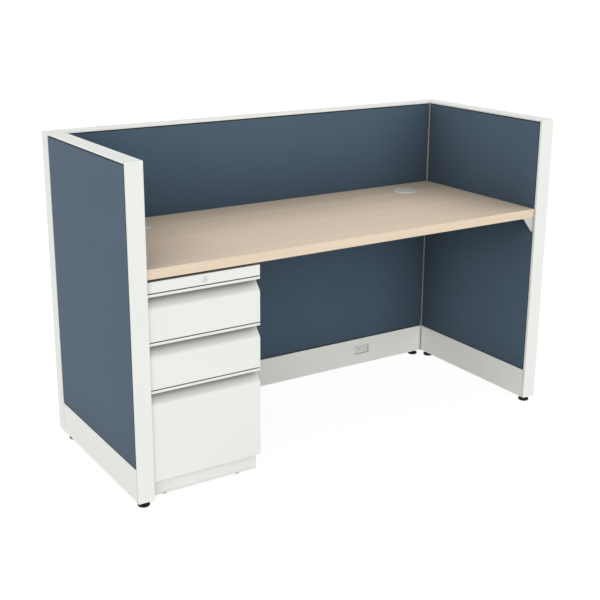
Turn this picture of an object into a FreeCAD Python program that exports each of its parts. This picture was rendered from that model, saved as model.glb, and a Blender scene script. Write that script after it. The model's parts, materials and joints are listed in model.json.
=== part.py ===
import FreeCAD, Part
import math
import os
import re
import Sketcher

# A cubicle workstation: two wing panels and a back panel joined at two corner posts,
# a worksurface carried between them, and a box-box-file pedestal under its left end.
# Millimetres. Origin on the floor, midway along the width and the depth.
# +X is the user's right, +Y the back panel, +Z up.

doc = FreeCAD.newDocument("cubicle_workstation")

# Driving dimensions, each written once

driving_sizes = {
    "Panels": {
        "back_panel_width": 1524.0,  # between the two corner posts, 60 in
        "wing_depth": 609.6,  # frame of a wing panel, front to back, 24 in
        "panel_thickness": 54.0,  # fabric face to fabric face
        "overall_height": 1066.8,  # floor to the top of the caps, 42 in
        "tile_thickness": 12.0,  # wrapped board
        "tile_edge_radius": 2.0,  # soft edge of the wrapped board
        "reveal": 4.5,  # shadow gap round a tile
    },
    "Panel frames": {
        "upright_width": 40.0,  # slotted upright, along the panel
        "frame_wall": 1.5,  # gauge of uprights and rails
        "rail_height": 30.0,  # top and middle rails
        "middle_rail_height": 690.0,  # floor to the underside of the middle rail
        "bottom_rail_height": 40.0,  # beam above the raceway
        "bottom_rail_drop": 25.0,  # how far that beam reaches below the top of the covers
        "foot_plate_thickness": 6.0,  # plate that closes an upright and takes the glide's stem
        "slot_width": 5.0,  # slot for hooks, across
        "slot_height": 24.0,  # slot for hooks, tall
        "slot_pitch": 50.8,  # slot to slot, 2 in
        "first_slot_height": 160.0,  # floor to the lowest slot
    },
    "Caps, trims and posts": {
        "cap_height": 7.0,  # visible skirt of the top caps
        "trim_wall": 2.0,  # wall of caps and end trims
        "trim_radius": 2.0,  # rounded long edges of caps and trims
        "cap_joint": 0.5,  # hairline between cap lengths
        "end_trim_proud": 6.4,  # end trim in front of the frame's end
        "end_trim_side": 10.0,  # visible side of the end trim
        "trim_rib": 2.0,  # thickness of the trim's clip ribs
        "trim_rib_spacing": 14.0,  # between the clip ribs
        "cap_slot_length": 30.0,  # accessory slot in the back cap
        "cap_slot_width": 6.0,  # accessory slot in the back cap
        "cap_slot_inset": 146.0,  # slot's centre from the left end of the back panel
        "cap_slot_rear": 8.5,  # slot's centre from the rear face
        "post_wall": 3.0,  # wall of the corner posts
        "post_radius": 3.0,  # rounded rear corner of a post
        "corner_spigot": 18.0,  # depth of a corner cap's spigot
        "spigot_clearance": 0.3,  # spigot in the post
    },
    "Panel connectors": {
        "lower_bolt_height": 240.0,  # floor to the lower draw bolts
        "upper_bolt_drop": 126.8,  # top of the panels to the upper draw bolts
        "bolt_radius": 4.0,  # draw bolt shank
        "bolt_hole_clearance": 0.3,  # bolt in its hole, all round
        "bolt_head_radius": 7.5,  # hexagon head and nut, across corners
        "bolt_head_height": 5.3,  # hexagon head
        "bolt_nut_height": 6.5,  # hexagon nut
        "bolt_tail": 3.0,  # shank beyond the nut
    },
    "Raceway": {
        "raceway_bottom": 20.5,  # floor to the underside of the covers
        "raceway_top": 129.0,  # floor to the top of the covers
        "cover_wall": 2.0,  # wall of the covers
        "cover_lip": 8.0,  # how far a cover's lip reaches under the floor rail
        "cover_radius": 1.0,  # rounded edges of the covers
        "cover_joint": 1.5,  # gap at the ends of a cover
        "receptacle_inset": 307.5,  # receptacle's centre from the right wing
        "receptacle_height": 82.0,  # floor to the receptacle's centre
        "receptacle_width": 68.6,  # face of the duplex receptacle
        "receptacle_rise": 34.6,  # face of the duplex receptacle
        "receptacle_clearance": 0.7,  # gap round it in the cover
        "receptacle_recess": 2.5,  # face behind the cover's face
        "outlet_spacing": 36.0,  # between the two outlets
        "outlet_radius": 15.0,  # raised round face of an outlet
        "outlet_rise": 1.0,  # how far that face stands out
        "blade_length": 8.0,  # blade slot
        "blade_width": 2.0,  # blade slot
        "blade_spacing": 12.7,  # between the two blade slots
        "ground_radius": 2.4,  # ground hole
        "ground_offset": 9.0,  # ground hole from the outlet's centre
        "blade_depth": 12.0,  # depth of the slots
        "power_block_width": 130.0,  # junction block behind the receptacle
        "power_block_depth": 13.2,  # junction block
        "power_connector_width": 22.0,  # plug-in ends of the junction block
        "power_connector_rise": 36.0,  # plug-in ends of the junction block
    },
    "Levelling glides": {
        "glide_radius": 19.0,  # pad on the floor
        "glide_pad_height": 8.0,  # pad
        "glide_chamfer": 1.5,  # edge of the pad
        "glide_shoulder": 4.0,  # slope on top of the pad
        "glide_neck_radius": 8.0,  # hexagon-sized neck
        "glide_neck_top": 18.5,  # floor to the top of the neck
        "glide_stem_radius": 5.0,  # threaded stem
        "glide_stem_top": 60.0,  # floor to the top of the stem
        "glide_fit": 0.08,  # stem in the foot plate, all round
    },
    "Worksurface": {
        "worksurface_height": 747.3,  # floor to its top
        "worksurface_thickness": 31.0,  # board with laminate
        "worksurface_setback": 10.0,  # its front edge behind the end trims
        "worksurface_gap": 1.0,  # to the tiles at the sides and back
        "edge_band": 2.0,  # thickness of the edge band
        "edge_band_radius": 1.5,  # rounded edges of the band
        "grommet_inset": 200.0,  # grommet's centre from a wing
        "grommet_setback": 110.0,  # grommet's centre from the back panel
        "grommet_hole_radius": 38.1,  # hole in the board, 3 in across
        "grommet_clearance": 0.3,  # sleeve in its hole, and cap in the sleeve
        "grommet_flange_radius": 44.5,  # flange of the sleeve
        "grommet_flange_height": 2.6,  # flange above the board
        "grommet_wall": 2.0,  # wall of the sleeve
        "grommet_ledge": 3.0,  # ledge that carries the cap
        "grommet_depth": 34.0,  # sleeve below the board's top
        "grommet_cap_thickness": 3.0,  # cap
        "grommet_notch_width": 16.0,  # cable notch in the cap
        "grommet_notch_depth": 14.0,  # cable notch in the cap
    },
    "Worksurface brackets": {
        "gusset_reach": 48.0,  # front gusset, along the board
        "gusset_drop": 52.0,  # front gusset, down the wing
        "gusset_toe": 7.0,  # width of its web at the foot
        "gusset_toe_radius": 5.0,  # rounded foot of the web
        "gusset_web": 3.0,  # thickness of the web that shows
        "gusset_flange": 2.5,  # thickness of its two flanges
        "gusset_length": 90.0,  # flange under the board, front to back
        "gusset_side_length": 20.0,  # flange on the wing, front to back
        "gusset_side_drop": 28.0,  # flange on the wing, tall
        "gusset_side_spacing": 12.0,  # between the two screws in the wing
        "gusset_setback": 1.5,  # web behind the board's front edge
        "rear_bracket_width": 60.0,  # rear angle, along the back panel
        "rear_bracket_reach": 50.0,  # rear angle, both legs
        "rear_bracket_wall": 3.0,  # rear angle
        "rear_bracket_inset": 60.0,  # rear angle's end from the wing
        "screw_radius": 2.4,  # shank of the wood screws
        "screw_length": 10.0,  # shank in the wood
        "screw_head_radius": 4.6,  # pan head
        "screw_head_height": 2.6,  # pan head
        "screw_fit": 0.05,  # shank in its pilot hole, all round
        "screw_spacing": 30.0,  # between two screws of one flange
    },
    "Pedestal": {
        "pedestal_width": 380.0,  # 15 in class
        "pedestal_depth": 455.0,  # 18 in class, front of the drawers to the back
        "pedestal_top": 708.3,  # floor to the top of the case
        "pedestal_gap": 1.0,  # to the wing beside it
        "pedestal_setback": 12.0,  # drawer fronts behind the end trims
        "pedestal_base": 12.0,  # floor to the underside of the case
        "sheet": 1.5,  # gauge of the case
        "kick_height": 73.5,  # floor to the lowest drawer front
        "kick_recess": 32.0,  # toe kick behind the drawer fronts
        "case_setback": 31.0,  # front edge of the case behind the drawer fronts
        "mounting_strip_width": 40.0,  # raised strips under the worksurface
        "mounting_strip_inset": 70.0,  # strip from the side of the case
        "mounting_strip_setback": 60.0,  # strip from the front edge of the case
        "pedestal_foot_radius": 11.0,  # press-in feet
        "pedestal_foot_inset": 60.0,  # foot from the side of the case
        "pedestal_foot_setback": 58.0,  # foot from the front and back
        "pedestal_foot_stem": 4.0,  # radius of the foot's stem
        "pedestal_foot_stem_rise": 6.0,  # stem above the case floor's underside
        "pedestal_foot_fit": 0.05,  # stem in its hole, all round
    },
    "Drawer fronts": {
        "drawer_gap": 3.0,  # between the fronts
        "file_front_height": 297.2,  # file drawer front
        "box_front_height": 147.2,  # box drawer front
        "front_thickness": 29.0,  # formed steel front
        "front_skin": 1.5,  # its gauge
        "front_border": 12.0,  # edge left round the pressed-in back
        "pull_height": 47.0,  # top of a front to the foot of its pull
        "pull_depth": 26.0,  # finger recess
        "pull_back_drop": 17.0,  # top of a front to where the pull starts to slope out
        "pull_foot_radius": 18.0,  # bend where the pull runs into the face
        "pull_back_radius": 7.0,  # bend at the back of the pull
        "lip_height": 8.0,  # lip that the fingers hook behind
        "lip_thickness": 2.5,  # wall of the lip
        "front_radius": 1.5,  # rounded edges of a front
    },
    "Drawer boxes and slides": {
        "drawer_sheet": 1.2,  # gauge of the drawer boxes
        "drawer_back_clearance": 11.5,  # back of the boxes to the back of the case
        "box_drawer_height": 100.0,  # box drawer sides
        "file_drawer_height": 240.0,  # file drawer sides
        "drawer_floor_lift": 12.0,  # box floor above the front's lower edge
        "drawer_rim": 5.0,  # hem folded in along the top of the sides
        "file_rail_inset": 17.8,  # side of the drawer box to the rail that hanging files slide on
        "file_rail_thickness": 1.5,  # rail for hanging files
        "file_rail_height": 16.0,  # rail for hanging files
        "slide_width": 12.7,  # closed slide, across
        "slide_height": 45.7,  # closed slide, tall
        "slide_back_gap": 12.1,  # closed slide, 16 in long, to the back of the case
        "slide_gauge": 1.2,  # slide members
        "slide_clearance": 0.4,  # between the webs of two members
        "slide_ball_race": 3.2,  # between the flanges of two members, where the balls run
        "slide_outer_reach": 11.0,  # how far the outer members wrap round
        "slide_setback": 4.0,  # slide's front end behind the case's front edge
    },
    "Lock": {
        "lock_flange_radius": 9.5,  # face of the lock
        "lock_flange_thickness": 1.5,  # face in front of the rail
        "lock_barrel_radius": 8.0,  # body of the lock
        "lock_barrel_length": 19.0,  # body behind the face
        "lock_plug_radius": 5.6,  # turning plug
        "lock_fit": 0.05,  # turning and pressed fits, all round
        "keyway_width": 1.4,  # keyway
        "keyway_height": 7.0,  # keyway
        "keyway_depth": 9.0,  # keyway
        "lock_rod_radius": 3.0,  # rod to the back of the case
        "crank_throw": 8.0,  # pin's distance from the rod, and the lock bar's travel
        "crank_thickness": 4.0,  # crank at the rod's end
        "crank_pin_radius": 2.5,  # pin in the lock bar's window
        "crank_pin_fit": 0.3,  # pin in its window
        "lock_bar_width": 34.0,  # bar behind the drawers
        "lock_bar_thickness": 3.0,  # bar behind the drawers
        "lock_bar_clearance": 0.3,  # bar to the case and its guides
        "lock_bar_head": 12.0,  # bar above its window
        "lock_bar_foot": 12.0,  # bar below its lowest hook
        "hook_width": 14.0,  # hooks over the drawer backs
        "hook_thickness": 3.0,  # hooks over the drawer backs
        "hook_free_height": 1.5,  # hook above a drawer back when unlocked
        "hook_free_depth": 2.0,  # hook in front of a drawer back
        "guide_thickness": 1.5,  # straps that guide the bar
        "guide_height": 14.0,  # straps that guide the bar
        "guide_rise": 60.0,  # straps from the lowest and the highest hook
        "rod_hanger_width": 18.0,  # tab that carries the rod
        "rod_hanger_gap": 8.0,  # tab in front of the crank
    },
    "Cuts": {
        "overrun": 5.0,  # how far every cut passes the surface it opens
    },
}

# The pin of a crank on a quarter turn leaves a straight line by this share of its throw.
crank_lag_share = 0.2105

# Places worked out from the driving dimensions

worked_out = [
    ("frame_thickness", "panel_thickness - 2 * tile_thickness"),
    ("overall_width", "back_panel_width + 2 * panel_thickness"),
    ("overall_depth", "wing_depth + panel_thickness + end_trim_proud"),
    ("half_width", "overall_width / 2"),
    ("half_depth", "overall_depth / 2"),
    ("wing_front", "end_trim_proud - half_depth"),
    ("back_face", "half_depth - panel_thickness"),
    ("side_face", "half_width - panel_thickness"),
    ("tile_bottom", "raceway_top + reveal"),
    ("tile_top", "overall_height - cap_height - reveal"),
    ("frame_bottom", "raceway_bottom + cover_wall"),
    ("frame_top", "overall_height - trim_wall"),
    ("upper_bolt_height", "overall_height - upper_bolt_drop"),
    ("trim_cover", "end_trim_side - end_trim_proud"),
    ("worksurface_underside", "worksurface_height - worksurface_thickness"),
    ("worksurface_front", "worksurface_setback - half_depth"),
    ("worksurface_back", "back_face - worksurface_gap"),
    ("worksurface_length", "back_panel_width - 2 * worksurface_gap"),
    ("worksurface_depth", "worksurface_back - worksurface_front"),
    ("grommet_x", "side_face - grommet_inset"),
    ("grommet_y", "back_face - grommet_setback"),
    ("grommet_tube_radius", "grommet_hole_radius - grommet_clearance"),
    ("grommet_seat_radius", "grommet_tube_radius - grommet_wall"),
    ("receptacle_x", "side_face - receptacle_inset"),
    ("pedestal_left", "pedestal_gap - side_face"),
    ("pedestal_front", "pedestal_setback - half_depth"),
    ("middle_front_bottom", "kick_height + file_front_height + drawer_gap"),
    ("top_front_bottom", "middle_front_bottom + box_front_height + drawer_gap"),
    ("lock_rail_bottom", "top_front_bottom + box_front_height + drawer_gap"),
    ("lock_height", "(lock_rail_bottom + pedestal_top) / 2"),
    ("lock_x", "pedestal_left + pedestal_width / 2"),
    ("drawer_width", "pedestal_width - 2 * (sheet + slide_width)"),
    ("drawer_left", "pedestal_left + sheet + slide_width"),
    ("drawer_front_y", "pedestal_front + front_thickness"),
    ("case_back_y", "pedestal_front + pedestal_depth - sheet"),
    ("drawer_back_y", "case_back_y - drawer_back_clearance"),
    ("drawer_length", "drawer_back_y - drawer_front_y"),
    ("slide_y", "pedestal_front + case_setback + slide_setback"),
    ("slide_length", "case_back_y - slide_back_gap - slide_y"),
    ("lock_bar_back", "case_back_y - lock_bar_clearance"),
    ("lock_bar_front", "lock_bar_back - lock_bar_thickness"),
    ("crank_back", "lock_bar_front - lock_bar_clearance"),
    ("crank_front", "crank_back - crank_thickness"),
    ("lock_bar_x", "lock_x + crank_throw / 2"),
    ("window_drop", "crank_pin_radius + crank_pin_fit + %s * crank_throw" % crank_lag_share),
    ("lock_bar_top", "lock_height + crank_pin_radius + crank_pin_fit + lock_bar_head / 2"),
]

sizes = doc.addObject("Spreadsheet::Sheet", "sizes")
places = doc.addObject("Spreadsheet::Sheet", "places")
sheet_of = {}


def fill_sheets():
    row = 1
    for heading, entries in driving_sizes.items():
        sizes.set("A%d" % row, heading)
        row += 1
        for alias, number in entries.items():
            sizes.set("A%d" % row, alias)
            sizes.set("B%d" % row, str(number))
            sizes.setAlias("B%d" % row, alias)
            sheet_of[alias] = "sizes"
            row += 1
    for index, (alias, formula) in enumerate(worked_out, start=1):
        places.set("A%d" % index, alias)
        places.set("B%d" % index, "=" + bound(formula))
        places.setAlias("B%d" % index, alias)
        sheet_of[alias] = "places"
    doc.recompute()


def bound(formula):
    """The formula with each name led by the sheet that holds it."""
    def with_sheet(match):
        word = match.group()
        return "%s.%s" % (sheet_of[word], word) if word in sheet_of else word
    return re.sub(r"[a-z]\w*", with_sheet, formula)


def value(formula):
    return float(sizes.evalExpression(bound(formula)))


fill_sheets()


# Ways to make and place pieces

nodes = []


def piece(label, made):
    """Counts an object as a sub-part under its own label."""
    made.Label = label
    nodes.append(made)
    return made


def at(made, x="0", y="0", z="0", turn=0.0):
    if turn:
        made.Placement = FreeCAD.Placement(FreeCAD.Vector(), FreeCAD.Rotation(FreeCAD.Vector(0, 0, 1), turn))
    for axis, formula in (("x", x), ("y", y), ("z", z)):
        made.setExpression("Placement.Base." + axis, bound(formula))
    return made


# A panel piece is drawn with x along its panel, y from the user's face to the outer face.
def on_panel(made, panel, along="0", through="0", up="0"):
    if panel == "back":
        return at(made, "-side_face + (%s)" % along, "back_face + (%s)" % through, up)
    if panel == "left_wing":
        return at(made, "-side_face - (%s)" % through, "wing_front + (%s)" % along, up, 90)
    return at(made, "side_face + (%s)" % through, "back_face - (%s)" % along, up, -90)


def block(name, x, y, z, length, width, height):
    made = doc.addObject("Part::Box", name)
    for size, formula in (("Length", length), ("Width", width), ("Height", height)):
        made.setExpression(size, bound(formula))
    return at(made, x, y, z)


def rod(name, x, y, z, radius, height, axis="z"):
    """A cylinder from x, y, z along one axis."""
    made = doc.addObject("Part::Cylinder", name)
    made.setExpression("Radius", bound(radius))
    made.setExpression("Height", bound(height))
    lean = {"x": FreeCAD.Rotation(FreeCAD.Vector(0, 1, 0), 90),
            "y": FreeCAD.Rotation(FreeCAD.Vector(1, 0, 0), -90),
            "z": FreeCAD.Rotation()}[axis]
    made.Placement = FreeCAD.Placement(FreeCAD.Vector(), lean)
    return at(made, x, y, z)


def fused(name, parts):
    made = doc.addObject("Part::MultiFuse", name)
    made.Shapes = parts
    made.Refine = True
    return made


def cut(name, base, tools):
    made = doc.addObject("Part::Cut", name)
    made.Base = base
    made.Tool = tools[0] if len(tools) == 1 else fused(name + "_tools", tools)
    return made


def group(name, parts):
    made = doc.addObject("Part::Compound", name)
    made.Links = parts
    return made


def new_body(name):
    return doc.addObject("PartDesign::Body", name)


def origin_part(body, role):
    return next(part for part in body.Origin.OriginFeatures if part.Role == role)


def sketch(body, name, plane, loops, lift="0"):
    """A sketch of closed outlines. A loop is a list of corner points, or a circle as (x, y, radius)."""
    made = body.newObject("Sketcher::SketchObject", name)
    made.AttachmentSupport = (origin_part(body, plane), [""])
    made.MapMode = "FlatFace"
    if lift != "0":
        made.setExpression("AttachmentOffset.Base.z", bound(lift))
    for loop in loops:
        if isinstance(loop, tuple):
            add_circle(made, *loop)
        else:
            add_outline(made, loop)
    return made


def pin_point(made, element, point, x, y):
    for kind, formula in (("DistanceX", x), ("DistanceY", y)):
        number = made.addConstraint(Sketcher.Constraint(kind, -1, 1, element, point, value(formula)))
        made.setExpression("Constraints[%d]" % number, bound(formula))


def add_circle(made, x, y, radius):
    centre = FreeCAD.Vector(value(x), value(y), 0)
    circle = made.addGeometry(Part.Circle(centre, FreeCAD.Vector(0, 0, 1), value(radius)))
    pin_point(made, circle, 3, x, y)
    number = made.addConstraint(Sketcher.Constraint("Radius", circle, value(radius)))
    made.setExpression("Constraints[%d]" % number, bound(radius))


def add_outline(made, corners):
    points = [FreeCAD.Vector(value(x), value(y), 0) for x, y in corners]
    lines = [made.addGeometry(Part.LineSegment(points[i - 1], points[i])) for i in range(len(points))]
    for i, line in enumerate(lines):
        made.addConstraint(Sketcher.Constraint("Coincident", lines[i - 1], 2, line, 1))
    for line, (x, y) in zip(lines, corners):
        pin_point(made, line, 2, x, y)


def rectangle(x, y, length, height):
    return [(x, y), ("%s + %s" % (x, length), y),
            ("%s + %s" % (x, length), "%s + %s" % (y, height)), (x, "%s + %s" % (y, height))]


def pad(body, profile, length, backwards=False):
    made = body.newObject("PartDesign::Pad", profile.Name + "_pad")
    made.Profile = profile
    made.setExpression("Length", bound(length))
    made.Reversed = backwards
    return made


def pocket(body, profile, depth, backwards=False):
    """Cuts to a depth, and stops the run if nothing was cut away."""
    doc.recompute()
    before = body.Shape.Volume
    made = body.newObject("PartDesign::Pocket", profile.Name + "_pocket")
    made.Profile = profile
    made.setExpression("Length", bound(depth))
    made.Reversed = backwards
    doc.recompute()
    if body.Shape.Volume >= before:
        raise RuntimeError("%s cuts nothing" % profile.Name)
    return made


def revolved(body, profile):
    made = body.newObject("PartDesign::Revolution", profile.Name + "_turned")
    made.Profile = profile
    made.ReferenceAxis = (profile, ["V_Axis"])
    made.Angle = 360
    return made


def rounded(body, radius, wanted):
    """Rounds the edges whose middle point and direction the test accepts."""
    doc.recompute()
    base = body.Tip
    chosen = []
    for number, edge in enumerate(base.Shape.Edges, start=1):
        middle = edge.valueAt((edge.FirstParameter + edge.LastParameter) / 2)
        run = edge.tangentAt(edge.FirstParameter)
        if edge.Curve.TypeId == "Part::GeomLine" and wanted(middle, run):
            chosen.append("Edge%d" % number)
    made = body.newObject("PartDesign::Fillet", body.Name + "_rounding")
    made.Base = (base, chosen)
    made.setExpression("Radius", bound(radius))
    return made


def near(first, second):
    return math.isclose(first, second, abs_tol=value("overrun") / 1000)


def along_x(run):
    return near(abs(run.x), 1)


def along_y(run):
    return near(abs(run.y), 1)


def along_z(run):
    return near(abs(run.z), 1)


# Each panel's length, and how much of each end the end trim covers
panels = {
    "back": {"length": "back_panel_width", "low": "0", "high": "0"},
    "left_wing": {"length": "wing_depth", "low": "trim_cover", "high": "0"},
    "right_wing": {"length": "wing_depth", "low": "0", "high": "trim_cover"},
}


# Slotted panel frames

def upright(name):
    """A slotted tube with a foot plate, standing at the low end of its frame."""
    body = new_body(name)
    section = sketch(body, name + "_section", "XY_Plane", [
        rectangle("0", "0", "upright_width", "frame_thickness"),
        rectangle("frame_wall", "frame_wall", "upright_width - 2 * frame_wall",
                  "frame_thickness - 2 * frame_wall")])
    pad(body, section, "frame_top - frame_bottom")
    plate = sketch(body, name + "_foot", "XY_Plane", [
        rectangle("0", "0", "upright_width", "frame_thickness"),
        ("upright_width / 2", "frame_thickness / 2", "glide_stem_radius + glide_fit")])
    pad(body, plate, "foot_plate_thickness")
    holes = sketch(body, name + "_bolt_holes", "YZ_Plane", [
        ("frame_thickness / 2", "lower_bolt_height - frame_bottom", "bolt_radius + bolt_hole_clearance"),
        ("frame_thickness / 2", "upper_bolt_height - frame_bottom", "bolt_radius + bolt_hole_clearance")])
    pocket(body, holes, "frame_wall + overrun", backwards=True)
    slot = sketch(body, name + "_slot", "XZ_Plane", [
        rectangle("(upright_width - slot_width) / 2", "first_slot_height - frame_bottom",
                  "slot_width", "slot_height")])
    first = pocket(body, slot, "frame_thickness + overrun")
    run_of_slots = value("frame_top - frame_bottom - slot_height - first_slot_height")
    copies = int(run_of_slots / value("slot_pitch")) + 1
    row = body.newObject("PartDesign::LinearPattern", name + "_slots")
    row.Originals = [first]
    row.Direction = (origin_part(body, "Z_Axis"), [""])
    row.Length = (copies - 1) * value("slot_pitch")
    row.Occurrences = copies
    body.Tip = row
    return body


def channel(name, z, height, length, opens_up=False):
    """A rail folded from sheet, open along one long face, between the two uprights."""
    run = "%s - 2 * upright_width" % length
    outer = block(name + "_outer", "upright_width", "tile_thickness", z, run, "frame_thickness", height)
    gap_z = "%s + frame_wall" % z if opens_up else "%s - overrun" % z
    inner = block(name + "_inner", "upright_width - overrun", "tile_thickness + frame_wall", gap_z,
                  "%s + 2 * overrun" % run, "frame_thickness - 2 * frame_wall",
                  "%s - frame_wall + overrun" % height)
    return cut(name, outer, [inner])


def panel_frame(panel):
    length = panels[panel]["length"]
    name = panel + "_frame"
    low = at(upright(name + "_low_upright"), "0", "tile_thickness", "frame_bottom")
    high = at(upright(name + "_high_upright"), length, "tile_thickness + frame_thickness",
              "frame_bottom", 180)
    rails = [
        channel(name + "_top_rail", "frame_top - rail_height", "rail_height", length),
        channel(name + "_middle_rail", "middle_rail_height", "rail_height", length),
        channel(name + "_bottom_rail", "raceway_top - bottom_rail_drop", "bottom_rail_height", length),
        channel(name + "_floor_rail", "frame_bottom", "foot_plate_thickness", length, opens_up=True),
    ]
    piece(name, on_panel(fused(name, [low, high] + rails), panel))


# Fabric tiles: wrapped boards on both faces of a frame

def screw_holes(panel):
    """Pilot holes in an inner tile for the worksurface's brackets, as circles."""
    hole = "screw_radius + screw_fit"
    if panel == "back":
        drop = "worksurface_underside - rear_bracket_wall - rear_bracket_reach / 2"
        first = "rear_bracket_inset + (rear_bracket_width - screw_spacing) / 2"
        spots = [first, first + " + screw_spacing"]
        spots += ["back_panel_width - (%s)" % spot for spot in spots]
        return [(spot, drop, hole) for spot in spots]
    if panel == "right_wing":
        return [("back_face - (%s)" % y, z, hole) for y, z in wing_screw_places()]
    return []


def wing_screw_places():
    """Where the gusset is screwed to the wing: y and z."""
    y = "worksurface_front + gusset_setback + gusset_web + (gusset_side_length - gusset_web) / 2"
    middle = "worksurface_underside - gusset_flange - (gusset_side_drop - gusset_flange) / 2"
    return [(y, "%s %s gusset_side_spacing / 2" % (middle, sign)) for sign in "-+"]


def gusset_board_screw_places():
    middle = "worksurface_front + gusset_setback + gusset_web + (gusset_length - gusset_web) / 2"
    return ["%s %s screw_spacing / 2" % (middle, sign) for sign in "-+"]


def tile(panel, face):
    name = "%s_tile_%s" % (panel, face)
    ends = panels[panel]
    body = new_body(name)
    low = "%s + reveal" % ends["low"]
    run = "%s - %s - %s - 2 * reveal" % (ends["length"], ends["low"], ends["high"])
    board = sketch(body, name + "_outline", "XZ_Plane", [rectangle(low, "tile_bottom", run,
                                                                   "tile_top - tile_bottom")])
    pad(body, board, "tile_thickness", backwards=True)
    holes = screw_holes(panel) if face == "inner" else []
    if holes:
        pocket(body, sketch(body, name + "_holes", "XZ_Plane", holes), "tile_thickness")
    shown = 0 if face == "inner" else value("tile_thickness")
    rounded(body, "tile_edge_radius", lambda middle, run: near(middle.y, shown))
    through = "0" if face == "inner" else "panel_thickness - tile_thickness"
    piece(name, on_panel(body, panel, through=through))


# Top caps, corner caps, corner posts and end trims

def top_cap(panel):
    name = panel + "_top_cap"
    ends = panels[panel]
    body = new_body(name)
    section = sketch(body, name + "_section", "YZ_Plane", [[
        ("0", "0"), ("trim_wall", "0"), ("trim_wall", "cap_height - trim_wall"),
        ("panel_thickness - trim_wall", "cap_height - trim_wall"), ("panel_thickness - trim_wall", "0"),
        ("panel_thickness", "0"), ("panel_thickness", "cap_height"), ("0", "cap_height")]])
    pad(body, section, "%s - %s - %s - 2 * cap_joint" % (ends["length"], ends["low"], ends["high"]))
    if panel == "back":
        slot = sketch(body, name + "_slot", "XY_Plane", [rectangle(
            "cap_slot_inset - cap_joint - cap_slot_length / 2",
            "panel_thickness - cap_slot_rear - cap_slot_width / 2",
            "cap_slot_length", "cap_slot_width")], lift="cap_height - trim_wall - overrun")
        pocket(body, slot, "trim_wall + 2 * overrun", backwards=True)
    top = value("cap_height")
    rounded(body, "trim_radius", lambda middle, run: along_x(run) and near(middle.z, top)
            and (near(middle.y, 0) or near(middle.y, value("panel_thickness"))))
    piece(name, on_panel(body, panel, "%s + cap_joint" % ends["low"], "0", "overall_height - cap_height"))


def corner_post(side):
    """A square tube. Its two inner faces are drilled for the draw bolts of the panels."""
    name = side + "_corner_post"
    body = new_body(name)
    section = sketch(body, name + "_section", "XY_Plane", [
        rectangle("0", "0", "panel_thickness", "panel_thickness"),
        rectangle("post_wall", "post_wall", "panel_thickness - 2 * post_wall",
                  "panel_thickness - 2 * post_wall")])
    pad(body, section, "overall_height - cap_height - raceway_bottom")
    holes = [("panel_thickness / 2", level + " - raceway_bottom", "bolt_radius + bolt_hole_clearance")
             for level in ("lower_bolt_height", "upper_bolt_height")]
    pocket(body, sketch(body, name + "_wing_holes", "XZ_Plane", holes), "post_wall + overrun")
    if side == "right":
        pocket(body, sketch(body, name + "_back_holes", "YZ_Plane", holes), "post_wall + overrun",
               backwards=True)
    else:
        pocket(body, sketch(body, name + "_back_holes", "YZ_Plane", holes,
                            lift="panel_thickness - post_wall - overrun"),
               "post_wall + 2 * overrun", backwards=True)
    outer_x = value("panel_thickness") if side == "right" else 0
    rounded(body, "post_radius", lambda middle, run: along_z(run) and near(middle.x, outer_x)
            and near(middle.y, value("panel_thickness")))
    x = "side_face" if side == "right" else "-half_width"
    piece(name, at(body, x, "back_face", "raceway_bottom"))


def corner_cap(side):
    name = side + "_corner_cap"
    body = new_body(name)
    top = sketch(body, name + "_top", "XY_Plane", [
        rectangle("0", "0", "panel_thickness", "panel_thickness")])
    pad(body, top, "cap_height")
    inset = "post_wall + spigot_clearance"
    spigot = sketch(body, name + "_spigot", "XY_Plane", [
        rectangle(inset, inset, "panel_thickness - 2 * (%s)" % inset, "panel_thickness - 2 * (%s)" % inset),
        rectangle(inset + " + trim_wall", inset + " + trim_wall",
                  "panel_thickness - 2 * (%s + trim_wall)" % inset,
                  "panel_thickness - 2 * (%s + trim_wall)" % inset)])
    pad(body, spigot, "corner_spigot", backwards=True)
    outer_x = value("panel_thickness") if side == "right" else 0
    rounded(body, "trim_radius", lambda middle, run: (along_z(run) and middle.z > 0
            and near(middle.x, outer_x) and near(middle.y, value("panel_thickness")))
            or (near(middle.z, value("cap_height")) and (near(middle.x, outer_x)
                or near(middle.y, value("panel_thickness")))))
    x = "side_face" if side == "right" else "-half_width"
    piece(name, at(body, x, "back_face", "overall_height - cap_height"))


def end_trim(side):
    """A channel over a wing's front end, with two ribs that clip to the frame."""
    name = side + "_end_trim"
    body = new_body(name)
    first = "(panel_thickness - trim_rib_spacing) / 2 - trim_rib"
    second = "(panel_thickness + trim_rib_spacing) / 2"
    corners = [("0", "0"), ("panel_thickness", "0"), ("panel_thickness", "end_trim_side"),
               ("panel_thickness - trim_wall", "end_trim_side"),
               ("panel_thickness - trim_wall", "trim_wall")]
    for rib in (second, first):
        corners += [(rib + " + trim_rib", "trim_wall"), (rib + " + trim_rib", "end_trim_proud"),
                    (rib, "end_trim_proud"), (rib, "trim_wall")]
    corners += [("trim_wall", "trim_wall"), ("trim_wall", "end_trim_side"), ("0", "end_trim_side")]
    section = sketch(body, name + "_section", "XY_Plane", [corners])
    pad(body, section, "overall_height - raceway_bottom - trim_wall")
    lid = sketch(body, name + "_lid", "XY_Plane", [rectangle("0", "0", "panel_thickness", "end_trim_side")],
                 lift="overall_height - raceway_bottom - trim_wall")
    pad(body, lid, "trim_wall")
    top = value("overall_height - raceway_bottom")
    rounded(body, "trim_radius", lambda middle, run: (along_z(run) and near(middle.y, 0))
            or (near(middle.z, top) and not near(middle.y, value("end_trim_side"))))
    x = "side_face" if side == "right" else "-half_width"
    piece(name, at(body, x, "-half_depth", "raceway_bottom"))


# Raceway covers and power

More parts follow.
